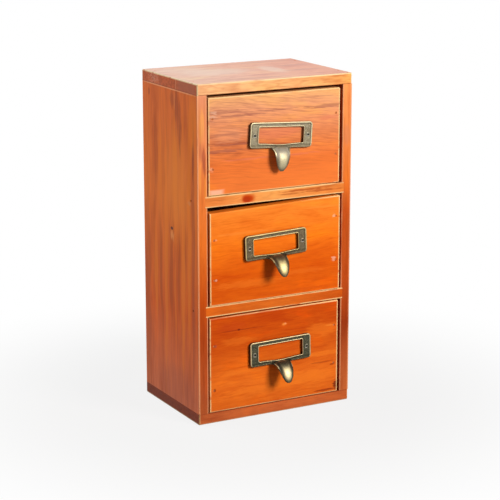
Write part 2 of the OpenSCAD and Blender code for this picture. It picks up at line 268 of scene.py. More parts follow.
class Finish:
    """The nodes of one material or of the world. Object coordinates are taken in millimetres."""

    def __init__(self, material):
        self.material = material
        self.tree = material.node_tree
        self.tree.nodes.clear()
        place = self.node("TexCoord").outputs["Object"]
        split = self.node("SeparateXYZ", values={"Vector": place})
        self.place = [Value(self, out) / MM for out in split.outputs]

    def node(self, kind, choices=None, values=None):
        """Adds a node of any kind: first its choices are set, and then its sockets."""
        node = self.tree.nodes.new("ShaderNode" + kind)
        for key, choice in (choices or {}).items():
            if key == "stops":
                self.set_stops(node.color_ramp, choice)
            else:
                setattr(node, key, choice)
        for key, value in (values or {}).items():
            self.feed(node.inputs[key], value)
        return node

    def set_stops(self, ramp, stops):
        while len(ramp.elements) < len(stops):
            ramp.elements.new(1)
        for element, (position, colour) in zip(ramp.elements, stops):
            element.position = position
            element.color = (*colour, 1)

    def feed(self, socket, value):
        """Links a socket, or sets its constant."""
        value = getattr(value, "socket", value)
        if isinstance(value, bpy.types.NodeSocket):
            self.tree.links.new(value, socket)
        elif socket.type == "RGBA":
            socket.default_value = (*value, 1)
        else:
            socket.default_value = value

    def math(self, operation, *terms):
        """Arithmetic on values and numbers, in the order given."""
        node = self.node("Math", {"operation": operation}, dict(enumerate(terms)))
        return Value(self, node.outputs[0])

    def noise(self, x, y, z, detail=2, roughness=0.5):
        """Smooth noise around 0.5, whose features are about one unit across."""
        vector = self.node("CombineXYZ", values={0: x, 1: y, 2: z}).outputs[0]
        node = self.node(
            "TexNoise",
            {"noise_dimensions": "3D"},
            {"Vector": vector, "Scale": 1, "Detail": detail, "Roughness": roughness},
        )
        return Value(self, node.outputs[0])

    def even_noise(self, size, **choices):
        """Noise with features of this size in millimetres, the same in every direction."""
        return self.noise(*[place / size for place in self.place], **choices)

    def mix(self, share, first, second, blend="MIX"):
        """Mixes two colours. The sockets are numbered, as a Mix node has several of each name."""
        choices = {"data_type": "RGBA", "blend_type": blend}
        return self.node("Mix", choices, {0: share, 6: first, 7: second}).outputs[2]

    def tint(self, colour, *layers):
        """Multiplies a colour by the tint of each layer, as far as the layer's share says."""
        for share, tint in layers:
            colour = self.mix(share, colour, tint, "MULTIPLY")
        return colour

    def ramp(self, share, stops):
        """A colour that runs through the stops as the share goes from 0 to 1."""
        return self.node("ValToRGB", {"stops": stops}, {"Fac": share}).outputs[0]

    def attribute(self, name):
        """A number that the piece stores at its points."""
        return Value(self, self.node("Attribute", {"attribute_name": name}).outputs["Fac"])

    def surface(self, height, depth, varying, constants):
        """Ends the material in one Principled shader with a bump."""
        bump = self.node("Bump", values={"Height": height, "Distance": depth, "Strength": 1})
        shader = self.node("BsdfPrincipled", values={**varying, **constants, "Normal": bump.outputs[0]})
        self.node("OutputMaterial", values={"Surface": shader.outputs[0]})
        return self.material


def new_finish(name):
    """An empty material to build a finish in."""
    material = bpy.data.materials.new(name)
    material.use_nodes = True
    return Finish(material)


# ---- wood ----

# A blotch or streak: its centre along and across the grain, its reach each way, its colour, how strong
# it is and how ragged its outline is. A square one has straight sides.
Mark = namedtuple(
    "Mark", "along across half_along half_across colour strength ragged square", defaults=(False,)
)

# A knot that the grain flows round: its centre along and across the grain, and its radius
Knot = namedtuple("Knot", "along across radius")

# A layer of noise that follows the grain: the length and width of its features, a shift that keeps it
# apart from other layers, its detail and roughness, and the values where its tint starts and is full
Layer = namedtuple("Layer", "length width shift detail roughness start full", defaults=(2, 0.5, 0, 1))
MOTTLE = Layer(34, 12, 2.5, 3, 0.55, 0.45, 0.75)
STRANDS = Layer(36, 1.9, 6.1, 3, 0.6, 0.5, 0.75)
THREADS = Layer(15, 0.8, 3.3, 3, 0.6, 0.48, 0.7)
FIBRES = Layer(8, 0.34, 0.9, 2, 0.5, 0.45, 0.75)
RUBBING = Layer(16, 5, 8.8, 3, 0.5, 0.2, 0.5)
RING_DEPTH = Layer(90, 30, 4.2, 1)
RING_SPACING = Layer(24, 5, 1.4)

DRIFT_LENGTH, DRIFT_WIDTH = 48, 24
PORE_SIZE = 0.7
WARP_SIZE = 14


@dataclass
class Look:
    """What sets a board's wood apart. Strengths run from 0 to 1, and lengths are in millimetres.

    A face of the board is given as its axis and its side, -1 or 1.
    """

    pith: tuple = (6, -30)  # centre of the growth rings, across and in depth
    spacing: float = 5.5  # from ring to ring
    wander: float = 9  # how far the rings stray in depth
    late: float = 2  # how narrow the dark latewood is
    uneven: float = 6  # how unevenly the rings are spaced
    rings: float = 0.4  # how strong the rings and the four layers are
    mottle: float = 0.5
    strands: float = 0.35
    threads: float = 0.3
    fibres: float = 0.25
    late_tint: tuple = (0.66, 0.48, 0.46)  # what the dark wood does to the stain
    calm: tuple = ()  # between which shares of the shaded axis the figure fades in
    fade: tuple = ()  # between which places along the grain it fades in
    knots: tuple = ()
    sway: float = 2  # how far the grain wanders
    tilt: float = 0  # how steeply it crosses the board
    reach: float = 1  # how long its streaks are
    marks: tuple = ()
    bands: tuple = ()  # marks that follow the grain
    face: tuple = ()  # stops of the edge that looks out at the front
    face_marks: tuple = ()
    end: tuple = ()  # colour of the end grain
    inner: tuple = ()  # faces darkened with the painted shade of the inside
    joints: tuple = ()  # faces whose edges aren't sanded
    wear: float = 0.7  # how strongly the edges are lightened: sanded-through stain and a painted highlight
    worn: tuple = ()  # their colour, where it isn't the usual one
    plies: int = 0  # number of veneers
    gloss: float = 0.06
    coat: float = 0  # shine of the upper face


class Grain:
    """A board's figure: it runs along one axis, and the board's broad face lies across another."""

    def __init__(self, finish, low, high, along, depth, seed, look):
        across = ({X, Y, Z} - {along, depth}).pop()
        middle = (low + high) / 2 / MM
        self.finish = finish
        self.seed = seed
        self.reach = look.reach
        self.half = (high - low) / 2 / MM
        self.local = [finish.place[axis] - middle[axis] for axis in (X, Y, Z)]
        self.along = finish.place[along]
        self.across = finish.place[across]
        self.depth = finish.place[depth]
        self.end_distance = self.half[along] - abs(self.local[along])
        drift = finish.noise(
            self.along / DRIFT_LENGTH + seed * 1.7, self.across / DRIFT_WIDTH, self.depth / DRIFT_WIDTH
        )
        self.flow = self.across + (drift - 0.5) * (2 * look.sway) + self.local[along] * look.tilt
        for knot in look.knots:
            self.flow = self.round_knot(knot)

    def round_knot(self, knot):
        """The flow with a knot in it: close to the knot the lines pass on its two sides."""
        stretch, spread, push = 3, 1.8, 0.85
        across = self.flow - knot.across
        along = (self.along - knot.along) / (knot.radius * stretch)
        reach = across / (knot.radius * spread)
        near = 1 / (1 + (along * along + reach * reach) ** 2)
        return across * (1 - near * push) + knot.across

    def noise(self, length, width, shift, **choices):
        """Noise whose features have this length and width along and across the grain."""
        return self.finish.noise(
            self.along / (length * self.reach) + (self.seed * 7.3 + shift),
            self.flow / width + self.seed * 3.1,
            self.depth / width + shift,
            **choices,
        )

    def layer(self, layer):
        return self.noise(
            layer.length, layer.width, layer.shift, detail=layer.detail, roughness=layer.roughness
        )

    def rings(self, look):
        """Growth rings: 1 in the dark latewood."""
        across = self.flow - look.pith[0]
        depth = self.depth - look.pith[1] + (self.layer(RING_DEPTH) - 0.5) * look.wander
        radius = (across * across + depth * depth).root()
        shift = (self.layer(RING_SPACING) - 0.5) * (look.uneven * math.pi)
        wave = (radius * (2 * math.pi / look.spacing) + shift).sine() * 0.5 + 0.5
        return wave**look.late

    def face_distance(self, axis, sign):
        """How far a point lies under one face of the board."""
        return self.half[axis] - self.local[axis] * sign

    def edge_distance(self, joints):
        """How far a point of the surface lies from the nearest free edge. Faces in joints have none."""
        reach = []
        for axis in (X, Y, Z):
            free = [sign for sign in (-1, 1) if (axis, sign) not in joints]
            if len(free) == 2:
                reach.append(self.half[axis] - abs(self.local[axis]))
            elif free:
                reach.append(self.face_distance(axis, free[0]))
            else:
                reach.append(self.local[axis] * 0 + self.half[axis])
        a, b, c = reach
        return a.lower(b).higher(a.higher(b).lower(c))

    def mask(self, mark, across):
        """1 in the heart of a mark, and 0 outside it."""
        along = (self.along - mark.along) / mark.half_along
        across = (across - mark.across) / mark.half_across
        if mark.square:
            reach = abs(along).higher(abs(across))
        else:
            reach = (along * along + across * across).root()
        ragged = (self.noise(7, 1.1, mark.along % 5, detail=3) - 0.5) * mark.ragged
        return (reach + ragged).step(1.2, 0.5) * mark.strength


def wood(name, node, along, depth, tones, shade_axis, seed, **choices):
    """A stained board's material. tones run over it along shade_axis, and choices are those of Look."""
    look = Look(**choices)
    stain = settings().wood
    low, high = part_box(node)
    finish = new_finish(name)
    grain = Grain(finish, low, high, along, depth, seed, look)
    share = (grain.local[shade_axis] + grain.half[shade_axis]) / (2 * grain.half[shade_axis])
    colour = finish.ramp(share, tones)
    if look.face:
        face = finish.ramp(share, look.face)
        for mark in look.face_marks:
            face = finish.mix(grain.mask(mark, grain.depth), face, mark.colour)
        front = (finish.place[Y] - low[Y] / MM).step(1.1, 0.35)
        colour = finish.mix(front, colour, face)

    mottle, strands, threads, fibres = map(grain.layer, (MOTTLE, STRANDS, THREADS, FIBRES))
    rings = grain.rings(look)
    figure = 1
    if look.calm:
        figure = share.step(*look.calm) * 0.75 + 0.25
    if look.fade:
        figure = figure * (grain.along.step(*look.fade) * 0.35 + 0.65)
    colour = finish.mix(mottle.step(0.5, 0.25) * look.mottle, colour, (1.0, 0.62, 0.36), "SOFT_LIGHT")
    shares = (
        mottle.step(MOTTLE.start, MOTTLE.full) * look.mottle,
        rings * (0.35 + 0.9 * strands) * look.rings,
        strands.step(STRANDS.start, STRANDS.full) * look.strands,
        threads.step(THREADS.start, THREADS.full) * look.threads,
        fibres.step(FIBRES.start, FIBRES.full) * look.fibres,
    )
    colour = finish.tint(colour, *[(each * figure, look.late_tint) for each in shares])
    if look.end:
        pores = finish.even_noise(PORE_SIZE, detail=3).step(0.35, 0.7) * 0.5
        end = finish.tint(look.end, (pores, (0.5, 0.42, 0.4)), (rings * 0.45, (0.55, 0.45, 0.42)))
        colour = finish.mix(grain.end_distance.step(0.5, 0.15), colour, end)
    for mark in look.bands:
        colour = finish.mix(grain.mask(mark, grain.flow), colour, mark.colour)
    for mark in look.marks:
        colour = finish.mix(grain.mask(mark, grain.across), colour, mark.colour)
    if look.plies:
        layers = (grain.depth * (math.pi * look.plies / (2 * grain.half[depth]))).sine()
        between = (grain.half[depth] - abs(grain.local[depth])).step(0.1, 0.3)
        colour = finish.tint(colour, (between * layers.step(-0.2, 0.2) * 0.7, (0.5, 0.36, 0.3)))
    # Faces inside the case take a dark colour: painted shade in the gaps round the drawers
    for axis, sign in look.inner:
        inside = grain.face_distance(axis, sign).step(0.6, 0.2) * 0.9
        colour = finish.mix(inside, colour, stain.inside)

    # The eased edges are lightened: partly sanded-through stain, partly a painted highlight of the
    # light on the rounded edges
    rubbed = grain.layer(RUBBING).step(RUBBING.start, RUBBING.full)
    wear = grain.edge_distance(look.joints).step(1.3, 0.4) * rubbed * look.wear
    warp = finish.even_noise(WARP_SIZE, detail=1)
    height = fibres * 0.4 + threads * 0.4 + rings * 0.2 + strands * 0.5 + warp * 3
    roughness = stain.varnish_roughness + (fibres - 0.5) * 0.12 + (mottle - 0.5) * 0.1 - wear * 0.06
    varying = {
        "Base Color": finish.mix(wear, colour, look.worn or stain.worn_edge_and_highlight),
        "Roughness": roughness,
    }
    if look.coat:
        varying["Coat Weight"] = grain.face_distance(Z, 1).step(0.4, 0.05) * look.coat
    constants = {"Specular IOR Level": look.gloss, "Coat Roughness": 0.34}
    return finish.surface(height, stain.grain_depth, varying, constants)


# ---- metal ----

METAL_SPECULAR = 0.3

# Sizes of the spots in the metals, in mm: brass's clouds and specks, and steel's spots
CLOUD_SIZE = 3.2
SPECK_SIZE = 0.5
SPOT_SIZE = 0.6


def brass(name, face_y, seed, tones):
    """Antique brass: patina in hollows and worn bright on edges. The plate's walls and the tongue's
    underside are darkened as painted shade, the tongue's root takes a painted tone of its light or its
    shade, and its crown a painted highlight as well as polish.
    """
    finish = new_finish(name)
    x, y, z = finish.place
    wear = finish.attribute("wear")
    lobe = finish.attribute("lobe")
    root = finish.attribute("root")
    dull = finish.attribute("dull")
    out = face_y / MM - y
    cloud = finish.noise(
        x / CLOUD_SIZE + seed, y / CLOUD_SIZE, z / CLOUD_SIZE, detail=4, roughness=0.65
    )
    speck = finish.noise(x / SPECK_SIZE, y / SPECK_SIZE + seed, z / SPECK_SIZE, detail=3)
    # Hollows keep a dark patina, and everything within about 2 mm of the drawer (the plate's side
    # walls, the window's walls and the slot) is darkened and made less metallic as painted shade
    hollow_patina_and_wall_shade = (wear.step(0.46, 0.34) * 0.5).higher(out.step(2.25, 1.8))
    # Edges are worn bright, and the tongue's crown and lip take a painted highlight as well as polish
    rub = wear.step(0.52, 0.64) * (0.35 + 0.8 * cloud) + lobe * (0.5 + 0.5 * cloud)
    rub = (rub - hollow_patina_and_wall_shade * 0.6).higher(0).lower(1)
    colour = finish.mix(rub, tones.patina, tones.worn)
    colour = finish.mix(speck.step(0.42, 0.3) * (1 - rub) * 0.55, colour, tones.worn)
    colour = finish.tint(
        colour,
        (speck.step(0.5, 0.72) * 0.6, (0.46, 0.43, 0.4)),
        (cloud.step(0.5, 0.66) * (1 - rub) * 0.7, (0.6, 0.52, 0.46)),
        (hollow_patina_and_wall_shade * 0.9, (0.12, 0.08, 0.06)),
        # Darkening of the tongue's tip, edges and downward faces and of the plate's foot: partly
        # painted shade
        (dull * (1 - rub * 0.5), (0.42, 0.38, 0.32)),
    )
    # The root tone is painted: shade on the middle and lower pulls, light on the upper one, and it is
    # less metallic there
    colour = finish.mix(root * (1 - rub), colour, tones.root)
    varying = {
        "Base Color": colour,
        "Roughness": 0.56 - rub * 0.1 + (cloud - 0.5) * 0.16,
        "Metallic": 1 - (root * 0.8).higher(hollow_patina_and_wall_shade * 0.9) * (1 - rub),
    }
    height = speck * 0.6 + cloud
    return finish.surface(height, 0.03 * MM, varying, {"Specular IOR Level": METAL_SPECULAR})


def steel(name, colour, seed, shine, metal=1.0):
    """Tarnished steel. A screw's recess is painted dark as shade, and the lower part of its head takes
    a painted highlight.
    """
    finish = new_finish(name)
    x, y, z = finish.place
    spots = finish.noise(x / SPOT_SIZE + seed, y / SPOT_SIZE, z / SPOT_SIZE, detail=3)
    recess = finish.attribute("recess")
    # The painted highlight on the lower part of a screw's head
    shade = finish.mix(finish.attribute("shine"), colour, (0.62, 0.58, 0.5))
    shade = finish.tint(
        shade,
        (spots.step(0.4, 0.7) * 0.5, (0.4, 0.34, 0.28)),
        (recess, (0.02, 0.015, 0.01)),
    )
    varying = {
        "Base Color": shade,
        "Roughness": 1 - shine + spots * 0.2,
        "Metallic": (1 - recess) * metal,
    }
    return finish.surface(spots, 0.02 * MM, varying, {"Specular IOR Level": METAL_SPECULAR})


# ---- modelling ----


def select_only(piece):
    bpy.ops.object.select_all(action="DESELECT")
    piece.select_set(True)
    bpy.context.view_layer.objects.active = piece


def settle(piece, name):
    """Puts the new piece's origin at the world's, so that its place is in its mesh."""
    piece.name = name
    piece.data.name = name
    select_only(piece)
    bpy.ops.object.transform_apply(location=True, rotation=True, scale=True)
    return piece


def add_block(name, low, high):
    bpy.ops.object.select_all(action="DESELECT")
    bpy.ops.mesh.primitive_cube_add(size=1, location=(low + high) / 2, scale=high - low)
    return settle(bpy.context.object, name)


def add_rod(name, start, end, radius, sides):
    """A round bar between two points."""
    bpy.ops.object.select_all(action="DESELECT")
    run = end - start
    bpy.ops.mesh.primitive_cylinder_add(
        vertices=sides,
        radius=radius,
        depth=run.length,
        location=(start + end) / 2,
        rotation=run.to_track_quat("Z", "Y").to_euler(),
    )
    return settle(bpy.context.object, name)


def select_edges(piece, test):
    """Opens the piece in edit mode with just the edges selected whose two ends pass the test."""
    select_only(piece)
    bpy.ops.object.mode_set(mode="EDIT")
    bpy.ops.mesh.select_mode(type="EDGE")
    bpy.ops.mesh.select_all(action="DESELECT")
    mesh = bmesh.from_edit_mesh(piece.data)
    for edge in mesh.edges:
        edge.select_set(test(*[v.co for v in edge.verts], edge))
    bmesh.update_edit_mesh(piece.data)


def leave_edit():
    bpy.ops.object.mode_set(mode="OBJECT")


def apply_modifier(piece, kind, **choices):
    modifier = piece.modifiers.new(kind.title(), kind)
    for key, choice in choices.items():
        setattr(modifier, key, choice)
    select_only(piece)
    bpy.ops.object.modifier_apply(modifier=modifier.name)


def combine(piece, tool, operation="DIFFERENCE"):
    """Cuts a tool out of the piece, or adds it, and deletes the tool."""
    apply_modifier(piece, "BOOLEAN", operation=operation, solver="EXACT", object=tool)
    bpy.data.objects.remove(tool)
    return piece


def join(name, pieces):
    bpy.ops.object.select_all(action="DESELECT")
    for piece in pieces:
        piece.select_set(True)
    bpy.context.view_layer.objects.active = pieces[0]
    if len(pieces) > 1:
        bpy.ops.object.join()
    return settle(pieces[0], name)


def ease(piece, radius_of, segments=4):
    """Rounds every sharp edge to the radius that radius_of gives for its two ends."""
    select_only(piece)
    bpy.ops.object.mode_set(mode="EDIT")
    mesh = bmesh.from_edit_mesh(piece.data)
    sharp = [e for e in mesh.edges if len(e.link_faces) == 2 and e.calc_face_angle() > math.radians(25)]
    radii = {e.index: radius_of(*[v.co.copy() for v in e.verts]) for e in sharp}
    widest = max(radii.values())
    for radius in sorted(set(radii.values())):
        bpy.ops.mesh.select_all(action="DESELECT")
        bpy.ops.mesh.select_mode(type="EDGE")
        mesh = bmesh.from_edit_mesh(piece.data)
        mesh.edges.ensure_lookup_table()
        for index, value in radii.items():
            if value == radius:
                mesh.edges[index].select_set(True)
        bmesh.update_edit_mesh(piece.data)
        bpy.ops.transform.edge_bevelweight(value=radius / widest)
    leave_edit()
    apply_modifier(
        piece,
        "BEVEL",
        width=widest,
        segments=segments,
        limit_method="WEIGHT",
        use_clamp_overlap=False,
        miter_outer="MITER_ARC",
    )
    return piece


def smooth(piece, degrees=40):
    """Smooth shading that keeps the flat faces flat."""
    select_only(piece)
    bpy.ops.object.shade_smooth_by_angle(angle=math.radians(degrees))
    apply_modifier(piece, "WEIGHTED_NORMAL", weight=100, keep_sharp=True)
    return piece


def finished(piece, material, body, slot, *nodes):
    """Gives the piece its material and says what it rides on and stands for."""
    piece.data.materials.clear()
    piece.data.materials.append(material)
    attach(piece, body)
    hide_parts(*nodes)
    return piece


# ---- places read from the frame ----

# A nail or screw: the centre of its head's outer face, its direction, its length and its head's radius
Nail = namedtuple("Nail", "head way length radius")


def solids(node):
    """The points of each separate solid of a node."""
    mesh = bmesh.new()
    mesh.from_mesh(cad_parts[node].data)
    bmesh.ops.remove_doubles(mesh, verts=mesh.verts, dist=0.002 * MM)
    left = set(mesh.verts)
    found = []
    while left:
        island = [left.pop()]
        for vert in island:
            for edge in vert.link_edges:
                other = edge.other_vert(vert)
                if other in left:
                    left.remove(other)
                    island.append(other)
        found.append([v.co.copy() for v in island])
    mesh.free()
    return sorted(found, key=lambda points: tuple(round(c, 5) for c in points_box(points)[0]))


def points_box(points):
    return (
        Vector([min(p[axis] for p in points) for axis in (X, Y, Z)]),
        Vector([max(p[axis] for p in points) for axis in (X, Y, Z)]),
    )


def nails(node):
    """The nails or screws of a node. Each is longest along its own axis and widest at its head."""
    found = []
    for points in solids(node):
        low, high = points_box(points)
        size = high - low
        axis = max((X, Y, Z), key=lambda a: size[a])
        middle = (low + high) / 2
        ends = {}
        for sign, end in ((-1, low[axis]), (1, high[axis])):
            near = [p for p in points if abs(p[axis] - end) < size[axis] / 4]
            ends[sign] = max((p - middle)[a] for p in near for a in (X, Y, Z) if a != axis)
        sign = max(ends, key=ends.get)
        head = middle.copy()
        head[axis] = high[axis] if sign > 0 else low[axis]
        way = Vector((0, 0, 0))
        way[axis] = -sign
        found.append(Nail(head, way, size[axis], ends[sign]))
    return found


# ---- boards ----


def on(value, plane):
    """True if a place lies in a plane, within the frame's rounding."""
    return abs(value - plane) < 0.02 * MM


def same(a, b, axis, plane):
    """True if an edge lies in this plane across the axis."""
    return on(a[axis], plane) and on(b[axis], plane)


def along(a, b, axis):
    """True if an edge runs along the axis."""
    return all(on(a[other], b[other]) for other in (X, Y, Z) if other != axis)


def nail_holes(piece, found):
    """Cuts the mouth of a hole for each sunk brad."""
    boards = settings().boards
    rods = []
    for nail in found:
        start = nail.head - nail.way * MM
        end = nail.head + nail.way * (boards.brad_sink + 0.5 * MM)
        rods.append(add_rod("hole", start, end, nail.radius - boards.hole_gap / 2, 20))
    return combine(piece, join("holes", rods)) if rods else piece


def touching(found, node):
    """The nails whose heads lie on this node's surface."""
    low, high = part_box(node)
    slack = 0.3 * MM
    return [n for n in found if all(low[a] - slack < n.head[a] < high[a] + slack for a in (X, Y, Z))]


def case_radius(a, b):
    """The radius of an edge of the case: its outline is sanded round, and its joints stay crisp."""
    boards = settings().boards
    planes = [(axis, plane[axis]) for axis in (X, Y, Z) for plane in (CASE_LOW, CASE_HIGH)]
    outside = [axis for axis, plane in planes if same(a, b, axis, plane)]
    if len(set(outside)) >= 2:
        return boards.outer_edge
    inner = (CASE_HIGH[X] - SIDE_THICKNESS, CASE_LOW[X] + SIDE_THICKNESS)
    if same(a, b, Y, CASE_LOW[Y]) and along(a, b, Z) and any(same(a, b, X, x) for x in inner):
        return boards.opening_edge
    return boards.joint_edge


def divider_radius(a, b):
    boards = settings().boards
    if same(a, b, Y, CASE_LOW[Y]) and along(a, b, X):
        return boards.opening_edge
    return boards.joint_edge


def board(name, node, radius_of, found=(), segments=4):
    """The board of a node, with a hole for each brad found in it and with its edges eased."""
    piece = nail_holes(add_block(name, *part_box(node)), touching(found, node))
    return smooth(ease(piece, radius_of, segments))


def side_board(name, node, brads):
    """A side of the case, with dadoes for the dividers and a rebate for the back panel."""
    piece = add_block(name, *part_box(node))
    past = Vector((0, 2 * MM, 0))
    for divider in ("upper_divider", "lower_divider"):
        low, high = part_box(divider)
        combine(piece, add_block("cutter", low - past, high + past))
    low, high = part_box("back_panel")
    reach = Vector((0.2 * MM, 0, SIDE_THICKNESS * 2))
    combine(piece, add_block("cutter", low - reach, high + reach + past))
    nail_holes(piece, touching(brads, node))
    return smooth(ease(piece, case_radius))


# The stiles run paler and pinker towards the top and darker towards the bottom: partly the stain,
# partly a painted sheen and a painted falloff of the light
STILE_LEFT = ramp_stops(
    (0.0, 184, 90, 46),
    (0.2, 180, 74, 26),
    (0.36, 204, 82, 16),
    (0.55, 238, 120, 40),
    (0.75, 238, 132, 66),
    (1.0, 238, 152, 110),
)
STILE_RIGHT = ramp_stops(
    (0.0, 201, 104, 54),
    (0.23, 160, 58, 16),
    (0.38, 202, 84, 25),
    (0.6, 182, 78, 24),
    (0.72, 234, 122, 50),
    (1.0, 254, 156, 90),
)
SIDE_TONES = ramp_stops(
    (0.0, 232, 124, 78),
    (0.3, 228, 98, 12),
    (0.65, 250, 128, 40),
    (1.0, 240, 118, 48),
)
BOTTOM_TONES = ramp_stops((0.0, 198, 100, 52), (0.6, 214, 110, 56), (1.0, 198, 98, 48))
# The top's tones are paler and pinker than its stain: partly a painted sheen of the varnish
TOP_TONES = ramp_stops((0.0, 255, 201, 165), (0.5, 255, 177, 132), (1.0, 248, 155, 108))
TOP_FACE = ramp_stops((0.0, 254, 197, 140), (0.7, 250, 188, 122), (1.0, 250, 180, 97))
UPPER_DIVIDER_TONES = ramp_stops((0.0, 244, 140, 64), (0.5, 250, 168, 88), (1.0, 240, 138, 58))
LOWER_DIVIDER_TONES = ramp_stops((0.0, 224, 106, 28), (0.5, 228, 114, 34), (1.0, 210, 90, 18))

BAND_RAGGED = 0.9
SIDE_FIGURE = dict(
    rings=0.3, mottle=0.7, strands=0.4, threads=0.3, fibres=0.25, sway=3, tilt=0.012, reach=2.2,
    late_tint=(0.72, 0.58, 0.46), wear=0.6, worn=tone(250, 180, 130),
    joints=((Z, -1), (Z, 1)),
)
DIVIDER_FACES = dict(inner=((Z, -1), (Z, 1)), joints=((X, -1), (X, 1)))


def top_marks():
    """The top board's pale patches of painted sheen, its darker streaks and the darker strip of its end
    grain, at X along and Y across.
    """
    # Painted sheen: the pale colour of the varnish's reflection
    painted_sheen = tone(255, 224, 200)
    return (
        Mark(-44, 26, 24, 16, painted_sheen, 0.35, 1.4),
        Mark(-26, 4, 32, 18, painted_sheen, 0.5, 1.4),
        Mark(22, -2, 9, 20, painted_sheen, 0.5, 1.4),
        Mark(-20, -38, 38, 5, tone(214, 138, 98), 0.5, 1.6),
        Mark(42, -14, 18, 3.4, tone(206, 128, 100), 0.5, 1.8),
        Mark(50, 12, 14, 4, tone(206, 126, 104), 0.45, 1.8),
        Mark(30, 38, 30, 4, tone(206, 126, 100), 0.4, 1.6),
        Mark(-66.5, -30, 0.7, 17.9, tone(184, 104, 76), 0.75, 0.1, True),
        Mark(-66.5, -12, 0.7, 0.5, tone(236, 160, 116), 0.7, 0.1, True),
    )


def left_side_bands():
    """The left side's light earlywood and the dark wood between, at Z along and Y across."""
    light, dark, plum = tone(254, 138, 34), tone(180, 74, 16), tone(174, 76, 36)
    rows = (
        (188, 18, 40, 3.6, light, 0.5),
        (108, 26, 38, 3.8, light, 0.5),
        (128, 7.5, 116, 3.2, light, 0.5),
        (182, -8, 52, 4.4, light, 0.7),
        (92, -9, 40, 1.8, light, 0.4),
        (130, -22, 116, 3.4, light, 0.5),
        (146, -32, 100, 3.0, light, 0.5),
        (232, -38, 26, 8, light, 0.5),
        (112, 16.5, 40, 3.2, dark, 0.55),
        (110, -1.5, 40, 3.6, dark, 0.65),
        (108, -14.8, 36, 2.6, dark, 0.5),
        (205, 25, 32, 3.6, dark, 0.4),
        (120, -39.5, 112, 3.0, plum, 0.5),
        (80, 41, 90, 6, plum, 0.45),
    )
    return [Mark(*row, BAND_RAGGED) for row in rows]


def left_side_marks():
    """The left side's knots, flames and pale lines, and a painted shade at its bottom, at Z along and Y
    across.
    """
    dark, plum, pale = tone(138, 56, 30), tone(150, 82, 70), tone(244, 158, 98)
    return (
        Mark(184, -12, 44, 20, tone(255, 144, 56), 0.45, 1.0),
        Mark(247, -5, 7, 3.4, dark, 0.45, 2.0),
        Mark(240, -13, 18, 4.0, dark, 0.5, 2.0),
        Mark(226, -18, 20, 2.6, dark, 0.45, 2.0),
        Mark(247.5, 35, 3, 1.6, dark, 0.4, 1.6),
        Mark(246, -9.2, 8, 0.7, pale, 0.6, 0.5),
        Mark(204, -40, 14, 2.2, dark, 0.5, 1.8),
        # A broad, dull plum darkening over the bottom of the side: painted shade of the light falling
        # off
        Mark(20, -10, 20, 36, plum, 0.25, 1.0),
        Mark(141, -3.4, 4.4, 2.8, tone(252, 164, 90), 0.7, 2.6),
        Mark(146.3, -2.9, 1.3, 2.0, tone(60, 18, 8), 1.0, 0.5),
        Mark(171.5, -33, 1.8, 3.0, tone(240, 158, 96), 0.4, 3.2),
        Mark(254, 0, 0.5, 47, tone(250, 176, 124), 0.8, 0.6, True),
    )


def left_stile_marks():
    """Flames on the left side's front edge, at Z along and X across."""
    return (
        Mark(206, -61.2, 12, 1.8, tone(166, 78, 58), 0.7, 1.6),
        Mark(212, -64, 8, 1.4, tone(180, 100, 76), 0.45, 1.6),
        Mark(232, -63, 14, 2.2, tone(255, 184, 96), 0.5, 1.2),
        Mark(192, -64.4, 16, 1.0, tone(255, 172, 84), 0.5, 1.2),
        Mark(184, -60, 12, 1.2, tone(255, 160, 66), 0.5, 1.2),
    )


def divider_marks():
    """The upper divider's red knot and dark streaks, at X along and Z across."""
    streak = tone(182, 80, 30)
    return (
        Mark(-24, 173.6, 6.6, 3.8, tone(206, 72, 10), 1.0, 0.5),
        Mark(-25, 173.2, 4.0, 2.4, tone(176, 48, 8), 0.8, 0.7),
        Mark(26, 175.6, 22, 1.0, streak, 0.8, 2.0),
        Mark(40, 173.6, 16, 0.9, streak, 0.75, 2.0),
        Mark(12, 173.6, 12, 0.8, streak, 0.55, 1.8),
        Mark(48, 176.8, 10, 0.7, streak, 0.6, 1.8),
    )


